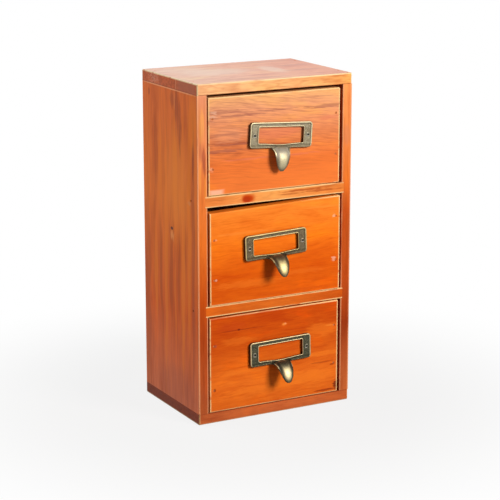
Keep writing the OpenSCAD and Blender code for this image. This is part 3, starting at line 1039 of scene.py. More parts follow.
def build_case():
    brads = nails("case_brads")
    finished(
        board("top_board_sanded", "top_board", case_radius, brads),
        wood(
            "top_wood", "top_board", X, Z, TOP_TONES, X, 1,
            face=TOP_FACE, end=tone(222, 110, 60), marks=top_marks(), inner=[(Z, -1)], joints=[(Z, -1)],
            rings=0.6, mottle=0.7, strands=0.6, wear=0.95, worn=tone(255, 226, 176), spacing=8,
            pith=(-10, 225), late_tint=(0.79, 0.55, 0.5), coat=0.6,
        ),
        "case", "top_wood", "top_board",
    )
    finished(
        board("bottom_board_sanded", "bottom_board", case_radius, brads),
        wood(
            "bottom_wood", "bottom_board", X, Z, BOTTOM_TONES, X, 2,
            end=tone(146, 58, 12), inner=[(Z, 1)], joints=[(Z, 1)], rings=0.3, wear=0.5, pith=(8, -30),
        ),
        "case", "case_wood", "bottom_board",
    )
    finished(
        side_board("left_side_sanded", "left_side", brads),
        wood(
            "left_side_wood", "left_side", Z, X, SIDE_TONES, Z, 3,
            face=STILE_LEFT, face_marks=left_stile_marks(), marks=left_side_marks(),
            bands=left_side_bands(), knots=(Knot(146.2, -2.8, 2.4),), spacing=11.5, pith=(-180, -60),
            wander=30, inner=[(X, 1)], **SIDE_FIGURE,
        ),
        "case", "case_wood", "left_side",
    )
    finished(
        side_board("right_side_sanded", "right_side", brads),
        wood(
            "right_side_wood", "right_side", Z, X, SIDE_TONES, Z, 9,
            face=STILE_RIGHT, face_marks=(Mark(215, 62.5, 9, 4, tone(218, 130, 86), 0.6, 0.8),),
            marks=(
                Mark(88, 12, 3.4, 3.2, tone(150, 56, 24), 0.9, 0.4),
                Mark(88, 12, 1.6, 1.5, tone(96, 32, 14), 0.8, 0.5),
                Mark(190, -20, 40, 6, tone(176, 84, 48), 0.4, 1.4),
            ),
            bands=[
                Mark(130, across, 116, 3.2, tone(255, 150, 66), 0.45, BAND_RAGGED)
                for across in (-31, -14, 5, 21, 37)
            ],
            knots=(Knot(88, 12, 4.5),), spacing=13, pith=(24, 150), wander=30,
            inner=[(X, -1)], **SIDE_FIGURE,
        ),
        "case", "case_wood", "right_side",
    )
    finished(
        board("upper_divider_sanded", "upper_divider", divider_radius),
        wood(
            "upper_divider_wood", "upper_divider", X, Y, UPPER_DIVIDER_TONES, X, 4,
            marks=divider_marks(), knots=(Knot(-24, 173.6, 4.5),), rings=0.25, mottle=0.3, strands=0.3,
            spacing=7, wear=0.85, **DIVIDER_FACES,
        ),
        "case", "divider_wood", "upper_divider",
    )
    finished(
        board("lower_divider_sanded", "lower_divider", divider_radius),
        wood(
            "lower_divider_wood", "lower_divider", X, Y, LOWER_DIVIDER_TONES, X, 5,
            rings=0.25, mottle=0.35, wear=0.95, **DIVIDER_FACES,
        ),
        "case", "divider_wood", "lower_divider",
    )


def sheet_radius(a, b):
    return settings().boards.joint_edge


def build_back():
    """The plywood back, dished a little round each pin."""
    finished(
        board("back_panel_ply", "back_panel", sheet_radius, nails("panel_pins")),
        wood(
            "back_plywood", "back_panel", Z, Y, plain(settings().wood.plywood), Z, 11,
            rings=0.45, spacing=11, wander=40, pith=(14, -140), plies=3, wear=0.3, gloss=0.25,
            mottle=0.35,
        ),
        "case", "plywood", "back_panel",
    )


# ---- drawers ----


def front_block(name, drawer):
    """A drawer front: its top edge slopes as the frame's does."""
    node = drawer + "_front"
    low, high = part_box(node)
    points = [v.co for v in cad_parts[node].data.vertices]
    back = [p for p in points if on(p[Y], high[Y])]
    piece = add_block(name, low, high)
    for end in (low[X], high[X]):
        top = max(p[Z] for p in back if on(p[X], end))
        select_edges(piece, lambda a, b, e: same(a, b, X, end) and same(a, b, Z, high[Z]))
        bpy.ops.transform.translate(value=(0, 0, top - high[Z]))
        leave_edit()
    return piece


def groove(piece, drawer):
    """Cuts the groove for the drawer's plywood bottom."""
    low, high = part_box(drawer + "_base")
    gap = Vector((0.1 * MM, 0.1 * MM, 0.1 * MM))
    open_end = Vector((0, 9 * MM, 0))
    return combine(piece, add_block("cutter", low - gap, high + gap + open_end))


FRONT_TONES = {
    "upper": ramp_stops(
        (0.0, 244, 126, 54),
        (0.3, 242, 124, 54),
        (0.5, 240, 138, 76),
        (0.85, 244, 166, 116),
        (1.0, 252, 183, 117),
    ),
    "middle": ramp_stops(
        (0.0, 224, 98, 14),
        (0.3, 228, 97, 8),
        (0.6, 250, 124, 24),
        (1.0, 255, 144, 50),
    ),
    "lower": ramp_stops(
        (0.0, 227, 109, 30),
        (0.25, 240, 119, 34),
        (0.7, 212, 88, 14),
        (1.0, 208, 80, 8),
    ),
}


def front_marks():
    """Streaks, knots, scuffs and patches of the three fronts, at X along and Z across."""
    violet, rose, rust = tone(140, 78, 74), tone(224, 118, 92), tone(150, 48, 12)
    gold, pale, scuff = tone(244, 124, 34), tone(255, 152, 62), tone(255, 216, 186)
    knot = settings().wood.knot
    return {
        "upper": (
            Mark(-40, 223, 15, 6.0, tone(255, 176, 128), 0.3, 1.6),
            Mark(-46, 241, 16, 2.0, violet, 0.35, 2.6),
            Mark(-30, 237.5, 24, 0.9, violet, 0.45, 2.4),
            Mark(-2, 239.5, 26, 0.7, violet, 0.4, 2.4),
            Mark(44, 239, 18, 1.7, violet, 0.5, 2.4),
            Mark(30, 247, 22, 0.7, violet, 0.25, 2.2),
            Mark(-38, 229, 24, 1.0, violet, 0.2, 2.4),
            Mark(-42, 224, 20, 1.0, violet, 0.25, 2.4),
            Mark(-38, 216, 22, 0.8, violet, 0.4, 2.4),
            Mark(-44, 211.5, 20, 1.4, violet, 0.5, 2.4),
            Mark(-22, 204, 24, 0.9, rose, 0.4, 2.0),
            Mark(20, 204, 16, 0.9, rose, 0.4, 2.0),
            Mark(46, 230, 10, 2.0, rose, 0.4, 2.0),
            Mark(0, 222, 22, 5, rose, 0.35, 1.4),
            Mark(-53.5, 239, 2.4, 2.4, scuff, 0.28, 6),
            Mark(-55, 198.5, 2.2, 1.8, scuff, 0.3, 6),
            Mark(-51, 180.5, 6.7, 2.5, tone(255, 190, 156), 0.85, 0.1, True),
        ),
        "middle": (
            Mark(40, 161, 20, 0.8, pale, 0.35, 1.8),
            Mark(-30, 148, 30, 1.2, pale, 0.3, 1.8),
            Mark(-24, 108, 34, 3.2, gold, 0.4, 2.0),
            Mark(24, 112, 24, 2.2, gold, 0.3, 2.0),
            Mark(20, 97, 36, 1.6, tone(206, 76, 12), 0.4, 1.8),
            Mark(50.5, 153.2, 1.8, 1.6, scuff, 0.35, 4.5),
            Mark(51, 118.6, 1.8, 1.5, scuff, 0.4, 4.5),
            Mark(-52.5, 113.6, 1.2, 0.9, scuff, 0.4, 3.0),
            Mark(-52.5, 145, 1.2, 0.7, scuff, 0.25, 3.0),
        ),
        "lower": (
            Mark(-38, 75, 14, 4, tone(196, 66, 22), 0.3, 1.6),
            Mark(-34, 63, 16, 3, gold, 0.35, 1.8),
            Mark(-32, 71.8, 20, 0.5, rust, 0.7, 1.2),
            Mark(-32.5, 71.9, 1.3, 0.9, knot, 1.0, 0.5),
            Mark(7.5, 70.8, 2.6, 1.3, pale, 0.7, 1.2),
            Mark(8.4, 71.4, 1.2, 0.6, scuff, 0.2, 1.2),
            Mark(49, 64.6, 4.5, 0.7, pale, 0.45, 2.0),
            Mark(46, 11.5, 11, 1.0, rust, 0.8, 1.6),
            Mark(54.5, 14.5, 2.6, 4.0, tone(104, 30, 16), 0.85, 1.6),
            Mark(-10, 22, 42, 2.8, gold, 0.6, 2.0),
            Mark(30, 25, 28, 6, gold, 0.6, 1.6),
            Mark(40, 42, 24, 2.0, gold, 0.6, 2.0),
            Mark(42, 62, 16, 6, gold, 0.5, 1.8),
            Mark(-30, 38, 24, 2.4, gold, 0.5, 2.0),
            Mark(51, 32, 2, 0.8, knot, 0.6, 1.0),
            Mark(42, 35, 12, 0.6, rust, 0.5, 1.4),
            Mark(-52.6, 61.5, 1.6, 1.2, violet, 0.4, 1.4),
            Mark(-53.4, 26.4, 1.3, 1.4, rust, 0.7, 1.0),
        ),
    }


FRONT_FIGURE = {
    "upper": dict(
        rings=0.36, late=3, spacing=3.4, pith=(60, 30), wander=24, mottle=0.7, strands=0.7, threads=0.6,
        fibres=0.5, sway=3, tilt=0.09, reach=1.3, calm=(0.15, 0.5), fade=(50, -30),
        late_tint=(0.58, 0.46, 0.64), wear=0.9,
    ),
    "middle": dict(
        rings=0.25, late=1.5, spacing=12, pith=(-20, -40), mottle=0.7, strands=0.5, threads=0.5,
        fibres=0.5, sway=4, late_tint=(0.86, 0.66, 0.44), wear=0.95,
    ),
    "lower": dict(
        rings=0.35, late=1.5, spacing=9, pith=(-60, -40), mottle=0.7, strands=0.55, threads=0.5,
        fibres=0.45, sway=3.5, late_tint=(0.84, 0.62, 0.44), wear=0.9,
    ),
}


def long_edge(a, b):
    """True for an edge of a board's outline, and not of a groove's end or a hole."""
    return (a - b).length > 20 * MM


def build_fronts():
    boards = settings().boards
    marks = front_marks()
    for number, drawer in enumerate(DRAWERS):
        node = drawer + "_front"
        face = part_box(node)[0][Y]
        piece = groove(front_block(node + "_sanded", drawer), drawer)
        nail_holes(piece, touching([n for n in nails(drawer + "_brads") if n.way[Y] > 0.5], node))

        def radius(a, b, face=face):
            return boards.front_edge if long_edge(a, b) and same(a, b, Y, face) else boards.joint_edge

        finished(
            smooth(ease(piece, radius)),
            wood(
                node + "_stain", node, X, Y, FRONT_TONES[drawer], Z, 20 + number,
                marks=marks[drawer], **FRONT_FIGURE[drawer],
            ),
            drawer + "_drawer", node + "_wood", node,
        )


def box_radius(a, b):
    boards = settings().boards
    return boards.box_edge if long_edge(a, b) else boards.joint_edge


def build_boxes():
    """The sides, back and bottom of each drawer's box."""
    pine, ply = plain(settings().wood.box_wood), plain(settings().wood.plywood)
    for number, drawer in enumerate(DRAWERS):
        body = drawer + "_drawer"
        brads = nails(drawer + "_brads")
        for turn, side in enumerate(("left_side", "right_side")):
            node = f"{drawer}_{side}"
            piece = groove(add_block(node + "_pine", *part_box(node)), drawer)
            nail_holes(piece, touching([n for n in brads if abs(n.way[X]) > 0.5], node))
            finished(
                smooth(ease(piece, box_radius, 3)),
                wood(
                    node + "_pine", node, Y, X, pine, Y, 40 + 2 * number + turn,
                    rings=0.45, spacing=5, pith=(10, -30), gloss=0.3, wear=0.4,
                ),
                body, "box_wood", node,
            )
        node = drawer + "_back"
        finished(
            board(node + "_pine", node, box_radius, segments=3),
            wood(
                node + "_pine", node, X, Y, pine, X, 50 + number,
                rings=0.4, spacing=5.5, pith=(12, -36), gloss=0.3, wear=0.4,
            ),
            body, "box_wood", node,
        )
        node = drawer + "_base"
        finished(
            board(node + "_ply", node, sheet_radius, segments=2),
            wood(
                node + "_plywood", node, X, Z, ply, X, 60 + number,
                rings=0.4, spacing=10, wander=34, pith=(12, -120), plies=3, gloss=0.25, wear=0.2,
                mottle=0.35,
            ),
            body, "plywood", node,
        )


# ---- brads, pins and screws ----

# The thickness of a brad's head, the rounding of its rim, its shank's radius and its point's length
BRAD_HEAD = 0.55 * MM
BRAD_RIM = 0.15 * MM
BRAD_SHANK = 0.58 * MM
BRAD_POINT = 1.6 * MM


def nail_model(nail, sink):
    """A brad: a flat head with a rounded rim, a shank and a point."""
    start = nail.head + nail.way * sink
    end = nail.head + nail.way * nail.length
    piece = add_rod("brad", start, start + nail.way * BRAD_HEAD, nail.radius - BRAD_RIM, 16)
    axis = max((X, Y, Z), key=lambda a: abs(nail.way[a]))
    rim = start[axis]
    select_edges(piece, lambda a, b, e: same(a, b, axis, rim) and len(e.link_faces) == 2)
    bpy.ops.mesh.bevel(offset=BRAD_RIM, segments=2, affect="EDGES")
    leave_edit()
    taper = end - nail.way * BRAD_POINT
    shank = add_rod("shank", start + nail.way * BRAD_HEAD / 2, taper, BRAD_SHANK, 16)
    select_edges(shank, lambda a, b, e: same(a, b, axis, taper[axis]))
    bpy.ops.mesh.select_mode(type="FACE")
    bpy.ops.mesh.extrude_region_move(TRANSFORM_OT_translate={"value": nail.way * BRAD_POINT})
    bpy.ops.transform.resize(value=(0.25, 0.25, 0.25))
    leave_edit()
    return combine(piece, shank, "UNION")


def build_nails():
    """All brads and panel pins, each sunk a little into its hole."""
    boards = settings().boards
    look = settings().pulls
    groups = [("case_brads", "case", look.steel, 1.0), ("panel_pins", "case", look.steel, 1.0)]
    groups += [(drawer + "_brads", drawer + "_drawer", look.stained_steel, 0.2) for drawer in DRAWERS]
    for number, (node, body, colour, metal) in enumerate(groups):
        models = [nail_model(nail, boards.brad_sink) for nail in nails(node)]
        piece = smooth(join(node + "_sunk", models), 35)
        finished(piece, steel(node + "_steel", colour, number, 0.3, metal), body, "nail_steel", node)


# How far a screw's cross is turned, in degrees, how much more on each next pull, and its shank's radius
SCREW_CROSS = 38
SCREW_TURN = 9
SCREW_SHANK = 0.98 * MM

# How far the cross's wings reach, as a share of the head's radius, half their width, and how far above
# the head's base they stop. Points of the head this far inside the dome's surface lie in the recess
WING_REACH = 0.6
WING_HALF = 0.45 * MM
WING_FLOOR = 0.1 * MM
INSIDE_DOME = 0.95


def screw_head(centre, radius, rise, turn):
    """A domed head. "recess" marks the points in its crossed recess, painted dark as shade, and "shine"
    the lower part of the head, which takes a painted highlight.

    The two wings of the recess stop a little above the head's base.
    """
    bpy.ops.object.select_all(action="DESELECT")
    bpy.ops.mesh.primitive_uv_sphere_add(segments=40, ring_count=24, radius=1, location=centre)
    dome = bpy.context.object
    dome.scale = (radius, rise, radius)
    settle(dome, "head")
    bpy.ops.object.mode_set(mode="EDIT")
    bpy.ops.mesh.select_all(action="SELECT")
    bpy.ops.mesh.bisect(plane_co=centre, plane_no=(0, 1, 0), use_fill=True, clear_outer=True)
    leave_edit()
    reach = radius * WING_REACH
    low, high = Vector((-reach, -2 * rise, -WING_HALF)), Vector((reach, -WING_FLOOR, WING_HALF))
    for angle in (SCREW_CROSS, SCREW_CROSS + 90):
        wing = add_block("wing", low, high)
        wing.rotation_euler = (0, math.radians(angle + turn), 0)
        wing.location = centre
        combine(dome, settle(wing, "wing"))
    recess, shine = [], []
    for vert in dome.data.vertices:
        away = vert.co - centre
        share = (away[X] / radius) ** 2 + (away[Y] / rise) ** 2 + (away[Z] / radius) ** 2
        # The recess is painted dark as shade, and the head's lower part takes a painted highlight
        recess.append(float(share < INSIDE_DOME and away[Y] < -WING_FLOOR / 2))
        shine.append((1 - recess[-1]) * ramp_up(-away[Z] / radius, 0.35, 0.6))
    store_values(dome.data, "recess", recess)
    store_values(dome.data, "shine", shine)
    return dome


def build_screws():
    """Two screws a pull: a domed head with a crossed recess, and a shank that starts under it."""
    rise = settings().pulls.screw_rise
    for number, drawer in enumerate(DRAWERS):
        node = drawer + "_screws"
        models = []
        for nail in nails(node):
            centre = nail.head + nail.way * rise
            dome = screw_head(centre, nail.radius, rise, SCREW_TURN * number)
            start, end = centre - nail.way * WING_FLOOR / 2, nail.head + nail.way * nail.length
            models.append(combine(dome, add_rod("shank", start, end, SCREW_SHANK, 20), "UNION"))
        piece = smooth(join(node + "_domed", models), 35)
        metal = steel(node + "_metal", PULL_TONES[drawer].screw, 30 + number, 0.5)
        finished(piece, metal, drawer + "_drawer", "screw_metal", node)


# ---- pulls ----


def rounded_slab(name, width, height, corner, back, front, bow=0):
    """A slab in X and Z with round corners, between two depths. Its lower edge may bow down."""
    half_width, half_height = width / 2, height / 2
    low, high = Vector((-half_width, -front, -half_height)), Vector((half_width, -back, half_height))
    slab = add_block(name, low, high)
    select_edges(slab, lambda a, b, e: along(a, b, Y))
    bpy.ops.mesh.bevel(offset=corner, segments=8, affect="EDGES")
    leave_edit()
    if bow:
        select_edges(slab, lambda a, b, e: same(a, b, Z, -half_height) and along(a, b, X))
        bpy.ops.mesh.subdivide(number_cuts=23)
        leave_edit()
        reach = half_width - corner
        for vert in slab.data.vertices:
            if on(vert.co[Z], -half_height):
                vert.co[Z] -= bow * max(0, math.cos(vert.co[X] / reach * math.pi / 2)) ** 2
    return slab


def ramp_up(value, start, end):
    """0 at start and 1 at end, with a smooth rise between them."""
    share = min(1, max(0, (value - start) / (end - start)))
    return share * share * (3 - 2 * share)


# How far a tongue's profile turns, how much it tapers, the share of its length over which its root
# flares, and where its grid ends, just short of the point at which it has no width
TONGUE_SWEEP = math.radians(92)
TONGUE_TAPER = 0.22
TONGUE_FLARE = 0.35
TONGUE_END = 0.985


def tongue_point(look, bend, t, u):
    """A point of a tongue's outer face: t runs from the root to the tip, u across from -1 to 1."""
    phi = t * TONGUE_SWEEP
    width = tongue_width(look, t)
    normal = Vector((look.tongue_drop * math.sin(phi), look.tongue_reach * math.cos(phi))).normalized()
    arch = look.tongue_crown * (0.5 + 0.5 * ramp_up(t, 0, 0.3))
    sag = arch * min(1, width / look.tongue_half_width) * (1 - max(0, 1 - u * u) ** 0.7)
    sag -= look.tongue_lip * ramp_up(abs(u), 0.82, 0.95) * (1 - ramp_up(t, 0.25, 0.8))
    out = look.tongue_reach * math.sin(phi) - normal[0] * sag
    up = -look.tongue_drop * (1 - math.cos(phi)) - normal[1] * sag
    near_root = max(0, 1 - t / 0.4)
    up -= look.window_bow * near_root * near_root * (3 - 2 * near_root)
    return Vector(
        (
            u * width,
            -tongue_depth(look) - out * math.cos(bend) - up * math.sin(bend),
            -tongue_root(look) - out * math.sin(bend) + up * math.cos(bend),
        )
    )


def tongue_depth(look):
    """How far the tongue's root stands out of the drawer's face."""
    return look.plate_depth - look.rim_height - 0.3 * MM


def tongue_root(look):
    """How far the tongue's root lies below the plate's centre: just under the window's bead."""
    return look.window_height / 2 + look.bead_width + 0.3 * MM


def tongue_width(look, t):
    """Half of the tongue's width: it flares into the plate at the root and ends round."""
    flare = look.tongue_flare * max(0, 1 - t / TONGUE_FLARE) ** 2
    return (look.tongue_half_width * (1 - TONGUE_TAPER * t) + flare) * math.sqrt(max(0, 1 - t**4))


def tongue(look, bend):
    """The finger tongue: a grid that is curved into place and thickened into a shell."""
    bpy.ops.object.select_all(action="DESELECT")
    bpy.ops.mesh.primitive_grid_add(x_subdivisions=36, y_subdivisions=56, size=2)
    shell = settle(bpy.context.object, "tongue")
    for vert in shell.data.vertices:
        share = (vert.co[Y] + 1) / 2
        t = TONGUE_END * (1 - (1 - share) ** 1.5)
        vert.co = tongue_point(look, bend, t, math.sin(vert.co[X] * math.pi / 2))
    select_edges(shell, lambda a, b, e: True)
    bpy.ops.mesh.normals_make_consistent(inside=False)
    leave_edit()
    middle = max(shell.data.polygons, key=lambda p: p.area)
    upward = middle.normal[Z] - middle.normal[Y] > 0
    apply_modifier(shell, "SOLIDIFY", thickness=look.tongue_thickness, offset=-1 if upward else 1)
    return shell


def store_values(mesh, name, values):
    """Stores one number at each point, held between 0 and 1."""
    store = mesh.attributes.new(name, "FLOAT", "POINT")
    store.data.foreach_set("value", [min(1, max(0, value)) for value in values])


def tongue_place(look, bend, point):
    """A point's place on the tongue, from root to tip and from middle to edge, and if it is on it."""
    ahead = -point[Y] - tongue_depth(look)
    below = -point[Z] - tongue_root(look)
    out = ahead * math.cos(bend) + below * math.sin(bend)
    drop = below * math.cos(bend) - ahead * math.sin(bend)
    phi = 2 * math.atan2(max(0, drop) / look.tongue_drop, max(0.1 * MM, out) / look.tongue_reach)
    path = min(1, phi / TONGUE_SWEEP)
    side = min(1, abs(point[X]) / max(MM, tongue_width(look, min(path, 0.97))))
    return path, side, ramp_up(ahead, 0.6 * MM, 1.4 * MM)


def mark_wear(piece, look, bend, passes):
    """Stores how proud each point is of its surroundings: over 0.5 on edges and under it in hollows.

    The plate's lower rim is brightened less, as painted shade, and the rims of the tongue's outer half,
    towards its tip, are brightened less too.
    """
    mesh = piece.data
    links = [[] for _ in mesh.vertices]
    for edge in mesh.edges:
        a, b = edge.vertices
        links[a].append(b)
        links[b].append(a)
    blurred = [v.co.copy() for v in mesh.vertices]
    for _ in range(passes):
        blurred = [
            (blurred[i] + sum((blurred[j] for j in near), Vector())) / (len(near) + 1)
            for i, near in enumerate(links)
        ]
    proud = 0.2 * MM
    foot = -look.plate_height / 2
    values = []
    for vert, far in zip(mesh.vertices, blurred):
        height = (vert.co - far).dot(vert.normal) / proud
        path, side, on_tongue = tongue_place(look, bend, vert.co)
        # The lower rim is kept from brightening: painted shade under the plate
        low_rim = 1 - ramp_up(vert.co[Z], foot + look.rim_width, foot + 1.8 * look.rim_width)
        spared = on_tongue * ramp_up(path, 0.5, 0.65) + (1 - on_tongue) * low_rim * 0.9
        values.append(0.5 + height * (1 - spared))
    store_values(mesh, "wear", values)


def mark_tongue(piece, look, bend):
    """Stores how far the tongue is brightened at its crown and lip, where it takes the root tone, and
    where it is darkened: partly polish and patina, partly painted highlight and painted shade.
    """
    lobes, roots, dull_and_shade_values = [], [], []
    bar = -look.window_height / 2 - look.bead_width
    for vert in piece.data.vertices:
        path, side, on_tongue = tongue_place(look, bend, vert.co)
        facing = vert.normal[Z] - vert.normal[Y]
        skyward = ramp_up(vert.normal[Z], -0.8, -0.2)
        rightward = ramp_up(vert.co[X], 0, 2 * MM)

        # The crown from its middle almost to the tip and the left lip near the root are brightened
        # where they face up: partly polish, partly a painted highlight
        crown = 0.85 * ramp_up(path, 0.34, 0.6) * (1 - 0.9 * ramp_up(path, 0.78, 0.97))
        crown *= 1 - ramp_up(side, 0.3, 0.9)
        lip = ramp_up(side, 0.85, 0.92) * (1 - ramp_up(path, 0.35, 0.65)) * (1 - rightward)
        lobes.append(on_tongue * max(crown, lip) * ramp_up(facing, -0.3, 0.3) * skyward)

        # The root, the valleys beside the crown and the underside take the pull's root tone: painted
        # shade, and on the upper pull painted light
        valley = ramp_up(side, 0.35, 0.65) * (1 - ramp_up(path, 0.5, 0.75))
        shade = max(1 - ramp_up(path, 0.25, 0.5), valley) * (1 - ramp_up(side, 0.86, 0.91))
        roots.append(on_tongue * max(shade, facing < -0.3))

        # The tip, the inner sides of the lips, the right edge, the faces that look down and the foot of
        # the plate's bar are darkened: the downward faces and the bar's foot as painted shade, the
        # lips' inner sides as patina and painted shade
        tip = 0.6 * max(ramp_up(path, 0.84, 0.98), ramp_up(side, 0.8, 1) * ramp_up(path, 0.6, 0.75))
        groove = 0.75 * ramp_up(side, 0.5, 0.72) * (1 - ramp_up(side, 0.84, 0.9))
        groove *= 1 - ramp_up(path, 0.6, 0.8)
        right_edge = 0.7 * ramp_up(side, 0.6, 0.95) * rightward
        foot = 0.6 * ramp_up(bar - vert.co[Z], 0, 0.6 * MM)
        dull = max(tip, groove, right_edge, 1 - skyward)
        dull_and_shade_values.append(max(on_tongue * dull, (1 - on_tongue) * foot))
    for name, values in (("lobe", lobes), ("root", roots), ("dull", dull_and_shade_values)):
        store_values(piece.data, name, values)


def casting(look, bend):
    """One pull in its own frame: X along the plate, -Y out of the drawer and Z up."""
    front = look.plate_depth
    land = front - look.rim_height
    past = 2 * MM
    rim, bead = look.rim_width, look.bead_width
    plate = rounded_slab("plate", look.plate_width, look.plate_height, look.plate_corner, 0, front)
    recess = rounded_slab(
        "recess", look.plate_width - 2 * rim, look.plate_height - 2 * rim,
        look.plate_corner - rim, land, front + past,
    )
    island = rounded_slab(
        "island", look.window_width + 2 * bead, look.window_height + 2 * bead,
        look.window_corner + bead, land - past, front + 2 * past, look.window_bow,
    )
    combine(plate, combine(recess, island))
    slot_low = Vector((-look.slot_width / 2, -look.slot_depth, -look.window_height / 2 - look.slot_lip))
    combine(plate, add_block("slot", slot_low, Vector((look.slot_width / 2, past, look.plate_height))))
    window = rounded_slab(
        "window", look.window_width, look.window_height,
        look.window_corner, -past, front + past, look.window_bow,
    )
    combine(plate, window)
    both = join("casting", [plate, tongue(look, bend)])
    apply_modifier(both, "REMESH", mode="VOXEL", voxel_size=look.cast_grain)
    select_only(both)
    bpy.ops.object.mode_set(mode="EDIT")
    bpy.ops.mesh.select_all(action="SELECT")
    bpy.ops.mesh.vertices_smooth(factor=0.5, repeat=3)
    leave_edit()
    bpy.ops.object.shade_smooth()
    mark_wear(both, look, bend, 6)
    mark_tongue(both, look, bend)
    return both


# The metal of a pull, its worn parts, its screws and its tongue's root. The upper pull is the palest.
# The root tone is painted: dark as shade on the middle and lower pulls, and pale as light on the upper
# one, whose bent tongue faces up
PullTones = namedtuple("PullTones", "patina worn screw root")


def pull_tones(*colours):
    return PullTones(*[tone(*colour) for colour in colours])


PULL_TONES = {
    "upper": pull_tones((130, 121, 100), (204, 192, 154), (150, 142, 122), (158, 149, 132)),
    "middle": pull_tones((97, 85, 66), (196, 178, 124), (132, 118, 98), (62, 47, 28)),
    "lower": pull_tones((68, 68, 54), (204, 184, 140), (118, 114, 98), (40, 36, 24)),
}


def build_pulls():
    look = settings().pulls
    for number, drawer in enumerate(DRAWERS):
        node = drawer + "_pull"
        left, right = sorted((n.head for n in nails(drawer + "_screws")), key=lambda p: p[X])
        across = right - left
        turn = -math.atan2(across[Z], across[X])
        face_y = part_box(drawer + "_front")[0][Y]
        centre = (left + right) / 2
        piece = casting(look, look.upper_bend if drawer == "upper" else 0)
        piece.rotation_euler = (0, turn, 0)
        piece.location = (centre[X], face_y, centre[Z])
        settle(piece, node + "_casting")
        metal = brass(node + "_brass", face_y, number * 5, PULL_TONES[drawer])
        finished(piece, metal, drawer + "_drawer", "antique_brass", node)


# ---- stage ----


def direction(azimuth, elevation):
    """The way from the case to a camera or lamp. Azimuth 0 is in front, and it grows to the right."""
    flat = math.cos(elevation)
    return Vector((math.sin(azimuth) * flat, -math.cos(azimuth) * flat, math.sin(elevation)))


def add_camera(stage):
    """The photograph's camera, which looks at the case from its left and a little above."""
    bpy.ops.object.select_all(action="DESELECT")
    back = direction(stage.azimuth, stage.elevation)
    right = Vector((0, 0, 1)).cross(back).normalized()
    up = back.cross(right)
    aim = (CASE_LOW + CASE_HIGH) / 2 + right * stage.aim_right - up * stage.aim_below
    bpy.ops.object.camera_add(location=aim + back * stage.distance)
    camera = bpy.context.object
    camera.name = "photo_camera"
    camera.rotation_euler = Matrix((right, up, back)).transposed().to_euler()
    camera.data.lens = stage.lens
    camera.data.sensor_width = 36
    camera.data.clip_start = 0.01
    bpy.context.scene.camera = camera


def add_lamp(name, azimuth, elevation, distance, size, power, colour):
    """A square soft lamp that faces the case."""
    bpy.ops.object.select_all(action="DESELECT")
    way = direction(math.radians(azimuth), math.radians(elevation))
    middle = (CASE_LOW + CASE_HIGH) / 2
    bpy.ops.object.light_add(type="AREA", location=middle + way * distance)
    lamp = bpy.context.object
    lamp.name = name
    lamp.rotation_euler = way.to_track_quat("Z", "Y").to_euler()
    lamp.data.shape = "SQUARE"
    lamp.data.size = size
    lamp.data.energy = power
    lamp.data.color = colour


def clear_rays(finish):
    """1 for the rays that show the white background: the camera's, and those in metal and in glass."""
    path = finish.node("LightPath").outputs
    camera, metal, glass = [
        Value(finish, path[f"Is {kind} Ray"]) for kind in ("Camera", "Glossy", "Transmission")
    ]
    return camera.higher(metal).higher(glass)


def add_world(stage):
    """Even light, and a white background for the camera and for reflections."""
    world = bpy.data.worlds.new("studio")
    bpy.context.scene.world = world
    world.use_nodes = True
    finish = Finish(world)
    strength = clear_rays(finish) * (1 - stage.sky_strength) + stage.sky_strength
    light = finish.node("Background", values={"Color": (1, 1, 1), "Strength": strength})
    finish.node("OutputWorld", values={"Surface": light.outputs[0]})


def floor_finish(colour):
    """Pale matt floor. The camera sees it white, but for the object's shadow close to the case."""
    finish = new_finish("pale_floor")
    x, y, z = finish.place
    cloud = finish.noise(x / 90, y / 90, z, detail=3)
    shade = finish.mix(cloud * 0.15, colour, (0.9, 0.9, 0.9), "MULTIPLY")
    matt = finish.node("BsdfDiffuse", values={"Color": shade})
    white = finish.node("Emission", values={"Color": (1, 1, 1), "Strength": 1.0})
    far = (x * x + y * y).root().step(110, 330)
    seen = clear_rays(finish) * (far * 0.15 + 0.85)
    mixed = finish.node("MixShader", values={0: seen, 1: matt.outputs[0], 2: white.outputs[0]})
    finish.node("OutputMaterial", values={"Surface": mixed.outputs[0]})
    return finish.material


def build_stage():
    stage = settings().stage
    add_camera(stage)
    add_lamp(
        "key_lamp", azimuth=24, elevation=24, distance=1.5, size=0.5,
        power=stage.key_power, colour=(1, 0.98, 0.95),
    )
    add_lamp(
        "fill_lamp", azimuth=-130, elevation=36, distance=1.5, size=1.5,
        power=stage.fill_power, colour=(1, 1, 1),
    )
    add_world(stage)
    bpy.ops.object.select_all(action="DESELECT")
    bpy.ops.mesh.primitive_plane_add(size=6, location=(0, 0, CASE_LOW[Z] - 0.1 * MM))
    floor = settle(bpy.context.object, "floor")
    floor.data.materials.append(floor_finish(stage.floor_colour))
    bpy.context.scene.view_settings.view_transform = "Standard"


# ---- operators and panel ----


class DRAWERS_OT_stage(bpy.types.Operator):
    """Add the camera, the lamps, the white background and the floor"""

    bl_idname = "mini_drawers.stage"
    bl_label = "Stage"

    def execute(self, context):
        build_stage()
        return {"FINISHED"}


class DRAWERS_OT_case(bpy.types.Operator):
    """Model the top, bottom and side boards and the two dividers"""

    bl_idname = "mini_drawers.case"
    bl_label = "Case boards"

    def execute(self, context):
        build_case()
        return {"FINISHED"}


class DRAWERS_OT_back(bpy.types.Operator):
    """Model the plywood back panel"""

    bl_idname = "mini_drawers.back"
    bl_label = "Back panel"

    def execute(self, context):
        build_back()
        return {"FINISHED"}


class DRAWERS_OT_fronts(bpy.types.Operator):
    """Model the three drawer fronts"""

    bl_idname = "mini_drawers.fronts"
    bl_label = "Drawer fronts"

    def execute(self, context):
        build_fronts()
        return {"FINISHED"}


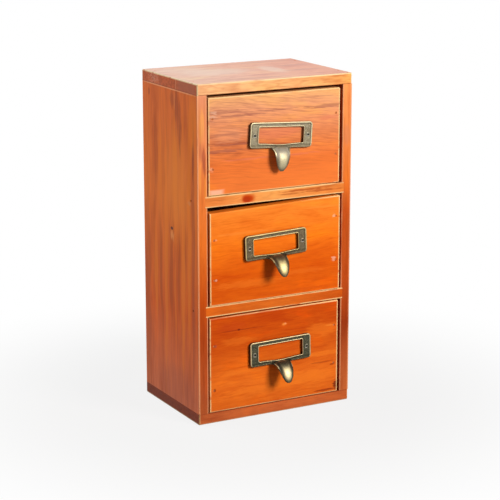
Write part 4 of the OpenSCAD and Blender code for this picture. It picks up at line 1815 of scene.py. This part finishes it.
class DRAWERS_OT_boxes(bpy.types.Operator):
    """Model the sides, backs and bottoms of the drawer boxes"""

    bl_idname = "mini_drawers.boxes"
    bl_label = "Drawer boxes"

    def execute(self, context):
        build_boxes()
        return {"FINISHED"}


class DRAWERS_OT_nails(bpy.types.Operator):
    """Model the brads and the panel pins"""

    bl_idname = "mini_drawers.nails"
    bl_label = "Brads and pins"

    def execute(self, context):
        build_nails()
        return {"FINISHED"}


class DRAWERS_OT_pulls(bpy.types.Operator):
    """Model the three antique brass label pulls"""

    bl_idname = "mini_drawers.pulls"
    bl_label = "Label pulls"

    def execute(self, context):
        build_pulls()
        return {"FINISHED"}


class DRAWERS_OT_screws(bpy.types.Operator):
    """Model the six domed screws of the pulls"""

    bl_idname = "mini_drawers.screws"
    bl_label = "Pull screws"

    def execute(self, context):
        build_screws()
        return {"FINISHED"}


OPERATORS = (
    DRAWERS_OT_stage,
    DRAWERS_OT_case,
    DRAWERS_OT_back,
    DRAWERS_OT_fronts,
    DRAWERS_OT_boxes,
    DRAWERS_OT_nails,
    DRAWERS_OT_pulls,
    DRAWERS_OT_screws,
)


class DRAWERS_PT_panel(bpy.types.Panel):
    """The steps that build the drawers, in order"""

    bl_idname = "DRAWERS_PT_panel"
    bl_label = "Mini Drawers"
    bl_space_type = "VIEW_3D"
    bl_region_type = "UI"
    bl_category = "Drawers"

    def draw(self, context):
        for operator in OPERATORS:
            self.layout.operator(operator.bl_idname)
        for group in ("boards", "wood", "pulls", "stage"):
            box = self.layout.box()
            box.label(text=group.title())
            values = getattr(context.scene.mini_drawers, group)
            for key in values.bl_rna.properties.keys():
                if key not in ("rna_type", "name"):
                    box.prop(values, key)


CLASSES = (
    BoardSettings,
    WoodSettings,
    PullSettings,
    StageSettings,
    DrawersSettings,
    *OPERATORS,
    DRAWERS_PT_panel,
)


def register():
    for cls in CLASSES:
        bpy.utils.register_class(cls)
    bpy.types.Scene.mini_drawers = PointerProperty(type=DrawersSettings)


def unregister():
    del bpy.types.Scene.mini_drawers
    for cls in reversed(CLASSES):
        bpy.utils.unregister_class(cls)


def main():
    register()
    steps = bpy.ops.mini_drawers
    for step in (
        steps.stage, steps.case, steps.back, steps.fronts,
        steps.boxes, steps.nails, steps.pulls, steps.screws,
    ):
        step()


if __name__ == "__main__":
    main()
